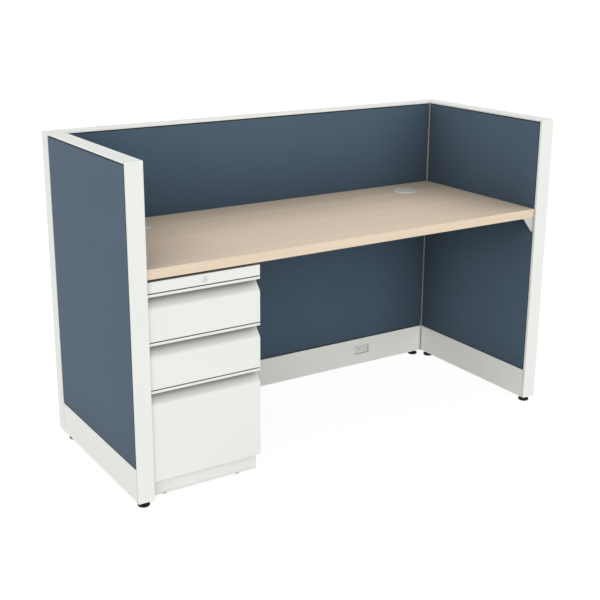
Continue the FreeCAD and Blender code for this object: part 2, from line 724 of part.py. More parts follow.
def raceway_cover(panel, face):
    """A formed strip with a hem on the bottom rail and a lip under the floor rail."""
    name = "%s_raceway_cover_%s" % (panel, face)
    ends = panels[panel]
    body = new_body(name)
    depths = ["0", "tile_thickness", "cover_wall", "tile_thickness + cover_lip"]
    if face == "outer":
        depths = ["panel_thickness - (%s)" % depth for depth in depths]
    face_y, hem_y, wall_y, lip_y = depths
    section = sketch(body, name + "_section", "YZ_Plane", [[
        (face_y, "raceway_bottom"), (face_y, "raceway_top"), (hem_y, "raceway_top"),
        (hem_y, "raceway_top - cover_wall"), (wall_y, "raceway_top - cover_wall"),
        (wall_y, "raceway_bottom + cover_wall"), (lip_y, "raceway_bottom + cover_wall"),
        (lip_y, "raceway_bottom")]])
    pad(body, section, "%s - %s - %s - 2 * cover_joint" % (ends["length"], ends["low"], ends["high"]))
    if panel == "back" and face == "inner":
        gap = "receptacle_clearance"
        window = sketch(body, name + "_window", "XZ_Plane", [rectangle(
            "receptacle_x + side_face - cover_joint - receptacle_width / 2 - " + gap,
            "receptacle_height - receptacle_rise / 2 - " + gap,
            "receptacle_width + 2 * " + gap, "receptacle_rise + 2 * " + gap)])
        pocket(body, window, "cover_wall + overrun")
    face_at = value(face_y)
    rounded(body, "cover_radius", lambda middle, run: along_x(run) and near(middle.y, face_at)
            and (near(middle.z, value("raceway_top")) or near(middle.z, value("raceway_bottom"))))
    piece(name, on_panel(body, panel, "%s + cover_joint" % ends["low"]))


def receptacle():
    """The duplex receptacle, on its side: two round outlets with slots, on a plain face."""
    body = new_body("duplex_receptacle")
    face = sketch(body, "receptacle_face", "XZ_Plane", [rectangle(
        "-receptacle_width / 2", "-receptacle_rise / 2", "receptacle_width", "receptacle_rise")])
    pad(body, face, "panel_thickness / 2 - receptacle_recess - outlet_rise", backwards=True)
    centres = ["-outlet_spacing / 2", "outlet_spacing / 2"]
    outlets = sketch(body, "receptacle_outlets", "XZ_Plane",
                     [(centre, "0", "outlet_radius") for centre in centres])
    pad(body, outlets, "outlet_rise")
    holes = []
    for centre in centres:
        for sign in "-+":
            holes.append(rectangle("%s - ground_offset / 2" % centre,
                                   "%sblade_spacing / 2 - blade_width / 2" % sign,
                                   "blade_length", "blade_width"))
        holes.append(("%s + ground_offset" % centre, "0", "ground_radius"))
    slots = sketch(body, "receptacle_slots", "XZ_Plane", holes, lift="outlet_rise")
    pocket(body, slots, "blade_depth")
    piece("duplex_receptacle", at(body, "receptacle_x", "back_face + receptacle_recess + outlet_rise",
                                  "receptacle_height"))


def power_block():
    """The junction block on the floor rail that the receptacle snaps onto."""
    z = "frame_bottom + frame_wall"
    rise = "raceway_top - bottom_rail_drop - frame_bottom - 2 * frame_wall"
    y = "back_face + panel_thickness / 2"
    core = block("power_block_core", "receptacle_x - power_block_width / 2", y, z,
                 "power_block_width", "power_block_depth", rise)
    plugs = []
    for index, x in enumerate(("receptacle_x - power_block_width / 2 - power_connector_width",
                               "receptacle_x + power_block_width / 2")):
        plugs.append(block("power_connector_%d" % index, x, y,
                           "%s + (%s - power_connector_rise) / 2" % (z, rise),
                           "power_connector_width", "power_block_depth", "power_connector_rise"))
    piece("power_block", fused("power_block", [core] + plugs))


# Draw bolts between the frames and the corner posts, and the levelling glides

def hexagon(name, radius, height):
    made = doc.addObject("Part::Prism", name)
    made.Polygon = 6
    made.setExpression("Circumradius", bound(radius))
    made.setExpression("Height", bound(height))
    return made


def draw_bolt(name, panel, end, level):
    """Head in the upright, nut in the post; drawn along +X with the post's face at x = 0."""
    head = hexagon(name + "_head", "bolt_head_radius", "bolt_head_height")
    nut = hexagon(name + "_nut", "bolt_head_radius", "bolt_nut_height")
    lean = FreeCAD.Rotation(FreeCAD.Vector(0, 1, 0), 90)
    for part, x in ((head, "frame_wall"), (nut, "-post_wall - bolt_nut_height")):
        part.Placement = FreeCAD.Placement(FreeCAD.Vector(), lean)
        at(part, x)
    tail = "post_wall + bolt_nut_height + bolt_tail"
    shank = rod(name + "_shank", "-(%s)" % tail, "0", "0", "bolt_radius", tail + " + frame_wall", "x")
    bolt = fused(name, [head, nut, shank])
    length = panels[panel]["length"]
    if end == "low":
        return on_panel(bolt, panel, "0", "panel_thickness / 2", level)
    on_panel(bolt, panel, length, "panel_thickness / 2", level)
    turned = FreeCAD.Rotation(FreeCAD.Vector(0, 0, 1), 180).multiply(bolt.Placement.Rotation)
    bolt.Placement = FreeCAD.Placement(bolt.Placement.Base, turned)
    return bolt


def panel_connectors():
    bolts = []
    for panel, end in (("back", "low"), ("back", "high"), ("left_wing", "high"), ("right_wing", "low")):
        for tag, level in (("lower", "lower_bolt_height"), ("upper", "upper_bolt_height")):
            bolts.append(draw_bolt("draw_bolt_%s_%s_%s" % (panel, end, tag), panel, end, level))
    piece("panel_connectors", group("panel_connectors", bolts))


def glide(name, x, y):
    body = new_body(name)
    profile = sketch(body, name + "_profile", "XZ_Plane", [[
        ("0", "0"), ("glide_radius - glide_chamfer", "0"), ("glide_radius", "glide_chamfer"),
        ("glide_radius", "glide_pad_height - glide_shoulder / 2"),
        ("glide_radius - glide_shoulder", "glide_pad_height"), ("glide_neck_radius", "glide_pad_height"),
        ("glide_neck_radius", "glide_neck_top"), ("glide_stem_radius", "glide_neck_top"),
        ("glide_stem_radius", "glide_stem_top"), ("0", "glide_stem_top")]])
    revolved(body, profile)
    piece(name, at(body, x, y))


def levelling_glides():
    wing_x = "(half_width - panel_thickness / 2)"
    back_y = "back_face + panel_thickness / 2"
    for side, sign in (("left", "-"), ("right", "")):
        glide(side + "_wing_front_glide", sign + wing_x, "wing_front + upright_width / 2")
        glide(side + "_wing_rear_glide", sign + wing_x, "back_face - upright_width / 2")
        glide("back_%s_glide" % side, sign + "(side_face - upright_width / 2)", back_y)


# Worksurface, edge band and grommets

def worksurface():
    body = new_body("worksurface")
    hole = "screw_radius + screw_fit"
    board = sketch(body, "worksurface_outline", "XY_Plane", [
        rectangle("-worksurface_length / 2 + edge_band", "worksurface_front + edge_band",
                  "worksurface_length - 2 * edge_band", "worksurface_depth - 2 * edge_band"),
        ("-grommet_x", "grommet_y", "grommet_hole_radius"),
        ("grommet_x", "grommet_y", "grommet_hole_radius")])
    pad(body, board, "worksurface_thickness")
    pilots = sketch(body, "worksurface_pilot_holes", "XY_Plane",
                    [(x, y, hole) for x, y, plate in board_screws()])
    pocket(body, pilots, "screw_length", backwards=True)
    piece("worksurface", at(body, z="worksurface_underside"))

    band = new_body("worksurface_edge_band")
    ring = sketch(band, "edge_band_outline", "XY_Plane", [
        rectangle("-worksurface_length / 2", "worksurface_front", "worksurface_length",
                  "worksurface_depth"),
        rectangle("-worksurface_length / 2 + edge_band", "worksurface_front + edge_band",
                  "worksurface_length - 2 * edge_band", "worksurface_depth - 2 * edge_band")])
    pad(band, ring, "worksurface_thickness")
    front = value("worksurface_front")
    rounded(band, "edge_band_radius", lambda middle, run: along_x(run) and near(middle.y, front))
    piece("worksurface_edge_band", at(band, z="worksurface_underside"))


def grommet_sleeve(side, sign):
    body = new_body(side + "_grommet_sleeve")
    ledge = "grommet_flange_height - grommet_cap_thickness - grommet_clearance"
    seat = "grommet_seat_radius + grommet_ledge / 2"
    profile = sketch(body, side + "_grommet_profile", "XZ_Plane", [[
        ("grommet_seat_radius - grommet_ledge", "-grommet_depth"), ("grommet_tube_radius", "-grommet_depth"),
        ("grommet_tube_radius", "0"), ("grommet_flange_radius", "0"),
        ("grommet_flange_radius", "grommet_flange_height / 3"),
        ("grommet_flange_radius - grommet_ledge", "grommet_flange_height"),
        (seat, "grommet_flange_height"), (seat, ledge), ("grommet_seat_radius - grommet_ledge", ledge)]])
    revolved(body, profile)
    return at(body, sign + "grommet_x", "grommet_y", "worksurface_height")


def grommet_cap(side, sign):
    name = side + "_grommet_cap"
    body = new_body(name)
    radius = "grommet_seat_radius + grommet_ledge / 2 - grommet_clearance"
    disc = sketch(body, name + "_disc", "XY_Plane", [("0", "0", radius)])
    pad(body, disc, "grommet_cap_thickness")
    notch = sketch(body, name + "_notch", "XY_Plane", [rectangle(
        "-grommet_notch_width / 2", "%s - grommet_notch_depth" % radius,
        "grommet_notch_width", "grommet_notch_depth + overrun")])
    pocket(body, notch, "grommet_cap_thickness", backwards=True)
    piece(name, at(body, sign + "grommet_x", "grommet_y",
                   "worksurface_height + grommet_flange_height - grommet_cap_thickness"))


def grommets():
    sides = (("left", "-"), ("right", ""))
    piece("grommet_sleeves", group("grommet_sleeves", [grommet_sleeve(*side) for side in sides]))
    for side in sides:
        grommet_cap(*side)


# Brackets and screws

def board_screws():
    """Where screws go up into the board, and the plate that each passes."""
    gusset_x = "side_face - gusset_flange - (gusset_reach - gusset_flange) / 2"
    spots = [(gusset_x, y, "gusset_flange") for y in gusset_board_screw_places()]
    rear_y = "back_face - rear_bracket_wall - (rear_bracket_reach - rear_bracket_wall) / 2"
    spots += [(x, rear_y, "rear_bracket_wall") for x in rear_screw_places()]
    return spots + [(x, y, "sheet") for x, y in strip_screw_places()]


def rear_screw_places():
    middle = "side_face - rear_bracket_inset - rear_bracket_width / 2"
    return ["%s(%s %s screw_spacing / 2)" % (sign, middle, shift) for sign in ("-", "") for shift in "-+"]


def strip_screw_places():
    from_side = "mounting_strip_inset + mounting_strip_width / 2"
    xs = ("pedestal_left + " + from_side, "pedestal_left + pedestal_width - (%s)" % from_side)
    ys = ("pedestal_front + case_setback + mounting_strip_setback + screw_spacing",
          "pedestal_front + pedestal_depth - mounting_strip_setback - screw_spacing")
    return [(x, y) for x in xs for y in ys]


def gusset():
    """A folded bracket at the right end: a tapered web across, a long flange under the board and a short
    one on the wing, hidden by the web. The pedestal carries the left end."""
    body = new_body("worksurface_gusset")
    web = sketch(body, "gusset_web_outline", "XZ_Plane", [[
        ("0", "0"), ("-gusset_reach", "0"), ("-gusset_toe", "-gusset_drop"), ("0", "-gusset_drop")]])
    pad(body, web, "gusset_web", backwards=True)
    rounded(body, "gusset_toe_radius", lambda middle, run: along_y(run)
            and near(middle.x, -value("gusset_toe")) and near(middle.z, -value("gusset_drop")))
    under_board = sketch(body, "gusset_board_flange", "XZ_Plane", [
        rectangle("-gusset_reach", "-gusset_flange", "gusset_reach", "gusset_flange")])
    pad(body, under_board, "gusset_length", backwards=True)
    on_wing = sketch(body, "gusset_wing_flange", "XZ_Plane", [
        rectangle("-gusset_flange", "-gusset_side_drop", "gusset_flange", "gusset_side_drop")])
    pad(body, on_wing, "gusset_side_length", backwards=True)
    hole = "screw_radius + screw_fit"
    middle = "gusset_web + (gusset_length - gusset_web) / 2"
    spots = ["%s %s screw_spacing / 2" % (middle, sign) for sign in "-+"]
    up = sketch(body, "gusset_board_holes", "XY_Plane", [
        ("-gusset_flange - (gusset_reach - gusset_flange) / 2", spot, hole) for spot in spots])
    pocket(body, up, "gusset_flange")
    spot = "gusset_web + (gusset_side_length - gusset_web) / 2"
    drop = "-gusset_flange - (gusset_side_drop - gusset_flange) / 2"
    across = sketch(body, "gusset_wing_holes", "YZ_Plane", [
        (spot, "%s %s gusset_side_spacing / 2" % (drop, sign), hole) for sign in "-+"])
    pocket(body, across, "gusset_flange")
    piece("worksurface_gusset", at(body, "side_face", "worksurface_front + gusset_setback",
                                   "worksurface_underside"))


def rear_bracket(name, x):
    """An angle under the rear edge of the board."""
    body = new_body(name)
    section = sketch(body, name + "_section", "YZ_Plane", [[
        ("0", "0"), ("0", "-rear_bracket_reach"), ("-rear_bracket_wall", "-rear_bracket_reach"),
        ("-rear_bracket_wall", "-rear_bracket_wall"), ("-rear_bracket_reach", "-rear_bracket_wall"),
        ("-rear_bracket_reach", "0")]])
    pad(body, section, "rear_bracket_width")
    hole = "screw_radius + screw_fit"
    first = "(rear_bracket_width - screw_spacing) / 2"
    spots = [first, first + " + screw_spacing"]
    up = sketch(body, name + "_board_holes", "XY_Plane", [
        (spot, "-rear_bracket_wall - (rear_bracket_reach - rear_bracket_wall) / 2", hole) for spot in spots])
    pocket(body, up, "rear_bracket_wall")
    back = sketch(body, name + "_panel_holes", "XZ_Plane", [
        (spot, "-rear_bracket_wall - rear_bracket_reach / 2", hole) for spot in spots])
    pocket(body, back, "rear_bracket_wall + overrun", backwards=True)
    return at(body, x, "back_face", "worksurface_underside")


def rear_brackets():
    left = rear_bracket("left_rear_angle", "-side_face + rear_bracket_inset")
    right = rear_bracket("right_rear_angle", "side_face - rear_bracket_inset - rear_bracket_width")
    piece("worksurface_rear_angles", group("worksurface_rear_angles", [left, right]))


def screw(name, x, y, z, direction, through):
    """A pan-head screw: x, y, z is where its head bears; the shank passes a plate, then wood."""
    reach = "screw_length + %s - screw_fit" % through
    head = rod(name + "_head", "0", "0", "-screw_head_height", "screw_head_radius", "screw_head_height")
    shank = rod(name + "_shank", "0", "0", "0", "screw_radius", reach)
    made = fused(name, [head, shank])
    lean = {"up": FreeCAD.Rotation(),
            "back": FreeCAD.Rotation(FreeCAD.Vector(1, 0, 0), -90),
            "right": FreeCAD.Rotation(FreeCAD.Vector(0, 1, 0), 90)}[direction]
    made.Placement = FreeCAD.Placement(FreeCAD.Vector(), lean)
    return at(made, x, y, z)


def bracket_screws():
    screws = []
    for number, (x, y, plate) in enumerate(board_screws()):
        screws.append(screw("board_screw_%d" % number, x, y, "worksurface_underside - " + plate, "up",
                            plate))
    for number, (y, z) in enumerate(wing_screw_places()):
        screws.append(screw("wing_screw_%d" % number, "side_face - gusset_flange", y, z, "right",
                            "gusset_flange"))
    rear_z = "worksurface_underside - rear_bracket_wall - rear_bracket_reach / 2"
    for number, x in enumerate(rear_screw_places()):
        screws.append(screw("panel_screw_%d" % number, x, "back_face - rear_bracket_wall", rear_z, "back",
                            "rear_bracket_wall"))
    piece("bracket_screws", group("bracket_screws", screws))


# Pedestal: case, lock rail and feet

def pedestal_case():
    """A wrapped steel case, open at the front, with a recessed toe kick and a floor."""
    body = new_body("case_shell")
    outline = sketch(body, "case_outline", "YZ_Plane", [[
        ("case_setback", "kick_height"), ("kick_recess", "kick_height"), ("kick_recess", "pedestal_base"),
        ("pedestal_depth", "pedestal_base"), ("pedestal_depth", "pedestal_top"),
        ("case_setback", "pedestal_top")]])
    pad(body, outline, "pedestal_width")
    hollow = sketch(body, "case_hollow", "YZ_Plane", [[
        ("case_setback - overrun", "kick_height + sheet"), ("kick_recess + sheet", "kick_height + sheet"),
        ("kick_recess + sheet", "pedestal_base + sheet"),
        ("pedestal_depth - sheet", "pedestal_base + sheet"),
        ("pedestal_depth - sheet", "pedestal_top - sheet"),
        ("case_setback - overrun", "pedestal_top - sheet")]], lift="sheet")
    pocket(body, hollow, "pedestal_width - 2 * sheet", backwards=True)
    stems = sketch(body, "case_foot_holes", "XY_Plane", [
        ("%s - pedestal_left" % x, "%s - pedestal_front" % y, "pedestal_foot_stem + pedestal_foot_fit")
        for x, y in pedestal_feet_places()], lift="pedestal_base - overrun")
    pocket(body, stems, "sheet + 2 * overrun", backwards=True)
    at(body, "pedestal_left", "pedestal_front")

    strip_y = "pedestal_front + case_setback + mounting_strip_setback"
    strip_run = "pedestal_depth - case_setback - 2 * mounting_strip_setback"
    added = [body]
    for side, x in (("left", "pedestal_left + mounting_strip_inset"),
                    ("right",
                     "pedestal_left + pedestal_width - mounting_strip_inset - mounting_strip_width")):
        rise = "worksurface_underside - pedestal_top"
        hat = block("strip_%s_outer" % side, x, strip_y, "pedestal_top", "mounting_strip_width", strip_run,
                    rise)
        inside = block("strip_%s_inner" % side, x + " + sheet", strip_y + " - overrun",
                       "pedestal_top - sheet - overrun", "mounting_strip_width - 2 * sheet",
                       strip_run + " + 2 * overrun", "%s + overrun" % rise)
        added.append(cut("strip_%s" % side, hat, [inside]))
    hanger_y = "crank_front - rod_hanger_gap - sheet"
    hanger_z = "lock_height - rod_hanger_width / 2"
    hanger = block("rod_hanger_tab", "lock_x - rod_hanger_width / 2", hanger_y, hanger_z,
                   "rod_hanger_width", "sheet", "pedestal_top - sheet - (%s)" % hanger_z)
    eye = rod("rod_hanger_eye", "lock_x", hanger_y + " - overrun", "lock_height",
              "lock_rod_radius + lock_fit", "sheet + 2 * overrun", "y")
    added.append(cut("rod_hanger", hanger, [eye]))
    added += [lock_bar_guide("lower_guide", "%s + guide_rise" % hook_bottom("file")),
              lock_bar_guide("upper_guide", "%s - guide_rise" % hook_bottom("top_box"))]
    whole = fused("pedestal_case_welded", added)
    openings = []
    for number, (x, y) in enumerate(strip_screw_places()):
        openings.append(rod("strip_hole_%d" % number, x, y, "worksurface_underside - overrun",
                            "screw_radius + screw_fit", "2 * overrun"))
        openings.append(rod("driver_hole_%d" % number, x, y, "pedestal_top - overrun",
                            "screw_head_radius + bolt_hole_clearance", "overrun"))
    piece("pedestal_case", cut("pedestal_case", whole, openings))


def lock_bar_guide(name, z):
    """A strap welded to the case's back that the lock bar slides in."""
    gap = "lock_bar_clearance"
    wide = "lock_bar_width + 2 * (%s + guide_thickness)" % gap
    depth = "lock_bar_thickness + 2 * %s + guide_thickness" % gap
    outer = block(name + "_outer", "lock_bar_x - (%s) / 2" % wide, "case_back_y - (%s)" % depth, z,
                  wide, depth, "guide_height")
    inner = block(name + "_inner", "lock_bar_x - lock_bar_width / 2 - " + gap,
                  "case_back_y - (%s) + guide_thickness" % depth, z + " - overrun",
                  "lock_bar_width + 2 * " + gap, "lock_bar_thickness + 2 * " + gap,
                  "guide_height + 2 * overrun")
    return cut(name, outer, [inner])


def lock_rail():
    """A channel across the top of the case, open to the back, that holds the lock."""
    body = new_body("pedestal_lock_rail")
    section = sketch(body, "lock_rail_section", "YZ_Plane", [[
        ("0", "lock_rail_bottom"), ("case_setback", "lock_rail_bottom"),
        ("case_setback", "lock_rail_bottom + sheet"), ("sheet", "lock_rail_bottom + sheet"),
        ("sheet", "pedestal_top - sheet"), ("case_setback", "pedestal_top - sheet"),
        ("case_setback", "pedestal_top"), ("0", "pedestal_top")]])
    pad(body, section, "pedestal_width")
    hole = sketch(body, "lock_rail_hole", "XZ_Plane", [
        ("pedestal_width / 2", "lock_height", "lock_barrel_radius + lock_fit")])
    pocket(body, hole, "sheet + overrun")
    rounded(body, "front_radius", lambda middle, run: along_x(run) and near(middle.y, 0))
    piece("pedestal_lock_rail", at(body, "pedestal_left", "pedestal_front"))


def pedestal_feet_places():
    xs = ("pedestal_left + pedestal_foot_inset", "pedestal_left + pedestal_width - pedestal_foot_inset")
    ys = ("pedestal_front + pedestal_foot_setback",
          "pedestal_front + pedestal_depth - pedestal_foot_setback")
    return [(x, y) for x in xs for y in ys]


def pedestal_feet():
    feet = []
    for number, (x, y) in enumerate(pedestal_feet_places()):
        body = new_body("pedestal_foot_%d" % number)
        profile = sketch(body, body.Name + "_profile", "XZ_Plane", [[
            ("0", "0"), ("pedestal_foot_radius - glide_chamfer", "0"),
            ("pedestal_foot_radius", "glide_chamfer"), ("pedestal_foot_radius", "pedestal_base"),
            ("pedestal_foot_stem", "pedestal_base"),
            ("pedestal_foot_stem", "pedestal_base + pedestal_foot_stem_rise"),
            ("0", "pedestal_base + pedestal_foot_stem_rise")]])
        revolved(body, profile)
        feet.append(at(body, x, y))
    piece("pedestal_feet", group("pedestal_feet", feet))


# Drawers

drawers = {
    "top_box": {"bottom": "top_front_bottom", "front": "box_front_height", "side": "box_drawer_height"},
    "middle_box": {"bottom": "middle_front_bottom", "front": "box_front_height",
                   "side": "box_drawer_height"},
    "file": {"bottom": "kick_height", "front": "file_front_height", "side": "file_drawer_height"},
}


def drawer_floor(drawer):
    return "%s + drawer_floor_lift" % drawers[drawer]["bottom"]


def drawer_rim_height(drawer):
    return "%s + %s" % (drawer_floor(drawer), drawers[drawer]["side"])


def drawer_front(drawer):
    """A formed steel front: a full-width lip, a finger recess under it, and a face that slopes
    back out to the front plane. Its back is pressed in behind the flat part."""
    name = drawer + "_drawer_front"
    tall = drawers[drawer]["front"]
    body = new_body(name)
    profile = sketch(body, name + "_profile", "YZ_Plane", [[
        ("0", "0"), ("0", "%s - pull_height" % tall), ("pull_depth", "%s - pull_back_drop" % tall),
        ("pull_depth", "%s - lip_thickness" % tall), ("lip_thickness", "%s - lip_thickness" % tall),
        ("lip_thickness", "%s - lip_height" % tall), ("0", "%s - lip_height" % tall), ("0", tall),
        ("front_thickness", tall), ("front_thickness", "0")]])
    pad(body, profile, "pedestal_width")
    recess = sketch(body, name + "_back", "XZ_Plane", [rectangle(
        "front_border", "front_border", "pedestal_width - 2 * front_border",
        "%s - pull_height - front_border - drawer_floor_lift" % tall)], lift="-front_skin")
    pocket(body, recess, "front_thickness")
    foot = value("%s - pull_height" % tall)
    rounded(body, "pull_foot_radius", lambda middle, run: along_x(run) and near(middle.y, 0)
            and near(middle.z, foot))
    rounded(body, "pull_back_radius", lambda middle, run: along_x(run)
            and near(middle.y, value("pull_depth")) and near(middle.z, value("%s - pull_back_drop" % tall)))
    rounded(body, "front_radius", lambda middle, run: along_x(run) and near(middle.y, 0)
            and (near(middle.z, 0) or near(middle.z, value(tall))))
    piece(name, at(body, "pedestal_left", "pedestal_front", drawers[drawer]["bottom"]))


def drawer_box(drawer):
    """An open steel tray behind the front, its sides hemmed. The file drawer holds two rails."""
    name = drawer + "_drawer_box"
    tall = drawers[drawer]["side"]
    body = new_body(name + "_tray")
    section = sketch(body, name + "_section", "XZ_Plane", [[
        ("0", "0"), ("0", tall), ("drawer_rim", tall), ("drawer_rim", tall + " - drawer_sheet"),
        ("drawer_sheet", tall + " - drawer_sheet"), ("drawer_sheet", "drawer_sheet"),
        ("drawer_width - drawer_sheet", "drawer_sheet"),
        ("drawer_width - drawer_sheet", tall + " - drawer_sheet"),
        ("drawer_width - drawer_rim", tall + " - drawer_sheet"), ("drawer_width - drawer_rim", tall),
        ("drawer_width", tall), ("drawer_width", "0")]])
    pad(body, section, "drawer_length", backwards=True)
    at(body, "drawer_left", "drawer_front_y", drawer_floor(drawer))
    added = [body]
    inside = "drawer_width - 2 * drawer_sheet"
    for end, y in (("front", "drawer_front_y"), ("back", "drawer_back_y - drawer_sheet")):
        added.append(block("%s_%s" % (name, end), "drawer_left + drawer_sheet", y, drawer_floor(drawer)
                           + " + drawer_sheet", inside, "drawer_sheet", tall + " - drawer_sheet"))
    if drawer == "file":
        for side, middle in (("left", "drawer_left + file_rail_inset"),
                             ("right", "drawer_left + drawer_width - file_rail_inset")):
            x = middle + " - file_rail_thickness / 2"
            added.append(block("file_rail_" + side, x, "drawer_front_y + drawer_sheet",
                               drawer_rim_height(drawer) + " - file_rail_height", "file_rail_thickness",
                               "drawer_length - 2 * drawer_sheet", "file_rail_height"))
    piece(name, fused(name, added))


# Telescopic slides: three nested channels on each side of a drawer

def slide_section(member):
    """The channel's outline across the slide: its web, and flanges that wrap towards the other side."""
    step = "slide_gauge + slide_clearance"
    nest = "slide_gauge + slide_ball_race"
    if member == "cabinet":
        web, lip, low = "0", "slide_outer_reach", "0"
    elif member == "middle":
        web, lip, low = step, "slide_outer_reach", nest
    else:
        web, lip, low = "slide_width", "2 * (%s)" % step, "2 * (%s)" % nest
    inward = "-" if member == "drawer" else "+"
    back = "%s %s slide_gauge" % (web, inward)
    high = "slide_height - (%s)" % low
    return [(web, low), (web, high), (lip, high), (lip, "%s - slide_gauge" % high),
            (back, "%s - slide_gauge" % high), (back, "%s + slide_gauge" % low),
            (lip, "%s + slide_gauge" % low), (lip, low)]


def slide_member(drawer, member, side):
    name = "%s_%s_slide_%s" % (drawer, side, member)
    body = new_body(name)
    outline = slide_section(member)
    if side == "right":
        outline = [("pedestal_width - 2 * sheet - (%s)" % x, z) for x, z in outline]
    section = sketch(body, name + "_section", "XZ_Plane", [outline])
    pad(body, section, "slide_length", backwards=True)
    z = "%s + (%s - slide_height) / 2" % (drawer_floor(drawer), drawers[drawer]["side"])
    return at(body, "pedestal_left + sheet", "slide_y", z)


def slides():
    fixed = [slide_member(drawer, "cabinet", side) for drawer in drawers for side in ("left", "right")]
    piece("cabinet_slide_members", group("cabinet_slide_members", fixed))
    for member in ("middle", "drawer"):
        for drawer in drawers:
            name = "%s_%s_slide_members" % (drawer, member)
            pair = [slide_member(drawer, member, side) for side in ("left", "right")]
            piece(name, group(name, pair))


# Lock: cylinder, rod with crank, and the bar that hooks the drawer backs

def hook_bottom(drawer):
    return "%s + hook_free_height" % drawer_rim_height(drawer)


def turned_to_back(body):
    """Lays a piece that was turned about Z along +Y."""
    body.Placement = FreeCAD.Placement(FreeCAD.Vector(), FreeCAD.Rotation(FreeCAD.Vector(1, 0, 0), -90))
    return body


def lock_cylinder():
    body = turned_to_back(new_body("lock_cylinder"))
    bore = "lock_plug_radius + lock_fit"
    profile = sketch(body, "lock_cylinder_profile", "XZ_Plane", [[
        (bore, "-lock_flange_thickness"), ("lock_flange_radius - lock_flange_thickness / 2",
                                           "-lock_flange_thickness"),
        ("lock_flange_radius", "-lock_flange_thickness / 2"), ("lock_flange_radius", "0"),
        ("lock_barrel_radius", "0"), ("lock_barrel_radius", "lock_barrel_length"),
        (bore, "lock_barrel_length")]])
    revolved(body, profile)
    piece("lock_cylinder", at(body, "lock_x", "pedestal_front", "lock_height"))


def lock_plug():
    """The plug with its keyway, the long rod behind it, and the crank that moves the lock bar."""
    body = turned_to_back(new_body("lock_plug_and_rod"))
    rear = "crank_back - pedestal_front"
    profile = sketch(body, "lock_plug_profile", "XZ_Plane", [[
        ("0", "-lock_flange_thickness"), ("lock_plug_radius", "-lock_flange_thickness"),
        ("lock_plug_radius", "lock_barrel_length"), ("lock_rod_radius", "lock_barrel_length"),
        ("lock_rod_radius", rear), ("0", rear)]])
    revolved(body, profile)
    keyway = sketch(body, "lock_keyway", "XY_Plane", [rectangle(
        "-keyway_width / 2", "-keyway_height / 2", "keyway_width", "keyway_height")],
        lift="-lock_flange_thickness - overrun")
    pocket(body, keyway, "keyway_depth + overrun", backwards=True)
    at(body, "lock_x", "pedestal_front", "lock_height")
    arm = block("crank_arm", "lock_x - lock_rod_radius", "crank_front", "lock_height - lock_rod_radius",
                "crank_throw + crank_pin_radius + lock_rod_radius", "crank_thickness", "2 * lock_rod_radius")
    pin = rod("crank_pin", "lock_x + crank_throw", "crank_front", "lock_height", "crank_pin_radius",
              "crank_thickness + lock_bar_clearance + lock_bar_thickness", "y")
    piece("lock_plug", fused("lock_plug", [body, arm, pin]))


def lock_bar():
    foot = "%s - lock_bar_foot" % hook_bottom("file")
    strip = block("lock_bar_strip", "lock_bar_x - lock_bar_width / 2", "lock_bar_front", foot,
                  "lock_bar_width", "lock_bar_thickness", "lock_bar_top - (%s)" % foot)
    parts = [strip]
    for drawer in drawers:
        tip_y = "drawer_back_y - drawer_sheet - hook_free_depth - hook_thickness"
        low = hook_bottom(drawer)
        parts.append(block(drawer + "_hook_tip", "lock_bar_x - hook_width / 2", tip_y, low, "hook_width",
                           "hook_thickness", "crank_throw + hook_thickness"))
        parts.append(block(drawer + "_hook_arm", "lock_bar_x - hook_width / 2", tip_y,
                           low + " + crank_throw", "hook_width", "lock_bar_front - (%s)" % tip_y,
                           "hook_thickness"))
    window_side = "crank_pin_radius + crank_pin_fit"
    window = block("lock_bar_window", "lock_x - (%s)" % window_side, "lock_bar_front - overrun",
                   "lock_height - window_drop", "crank_throw + 2 * (%s)" % window_side,
                   "lock_bar_thickness + 2 * overrun", "window_drop + %s" % window_side)
    piece("lock_bar", cut("lock_bar", fused("lock_bar_whole", parts), [window]))


# The whole workstation

for panel in panels:
    panel_frame(panel)
    top_cap(panel)
    for face in ("inner", "outer"):
        tile(panel, face)
        raceway_cover(panel, face)
for side in ("left", "right"):
    corner_post(side)
    corner_cap(side)
    end_trim(side)
power_block()
receptacle()
panel_connectors()
levelling_glides()
worksurface()
grommets()
gusset()
rear_brackets()
bracket_screws()
pedestal_case()
lock_rail()
pedestal_feet()
for drawer in drawers:
    drawer_front(drawer)
    drawer_box(drawer)
slides()
lock_cylinder()
lock_plug()
lock_bar()
doc.recompute()

failed = [made.Name for made in doc.Objects if "Invalid" in made.State or "Error" in made.State]
failed += [made.Label for made in nodes if made.Shape.isNull() or not made.Shape.isValid()]
if failed:
    raise RuntimeError("these failed: " + ", ".join(failed))

os.makedirs("parts", exist_ok=True)
for made in nodes:
    made.Shape.exportStep(os.path.join("parts", made.Label + ".step"))
print("%d sub-parts written" % len(nodes))
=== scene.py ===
import json
import math

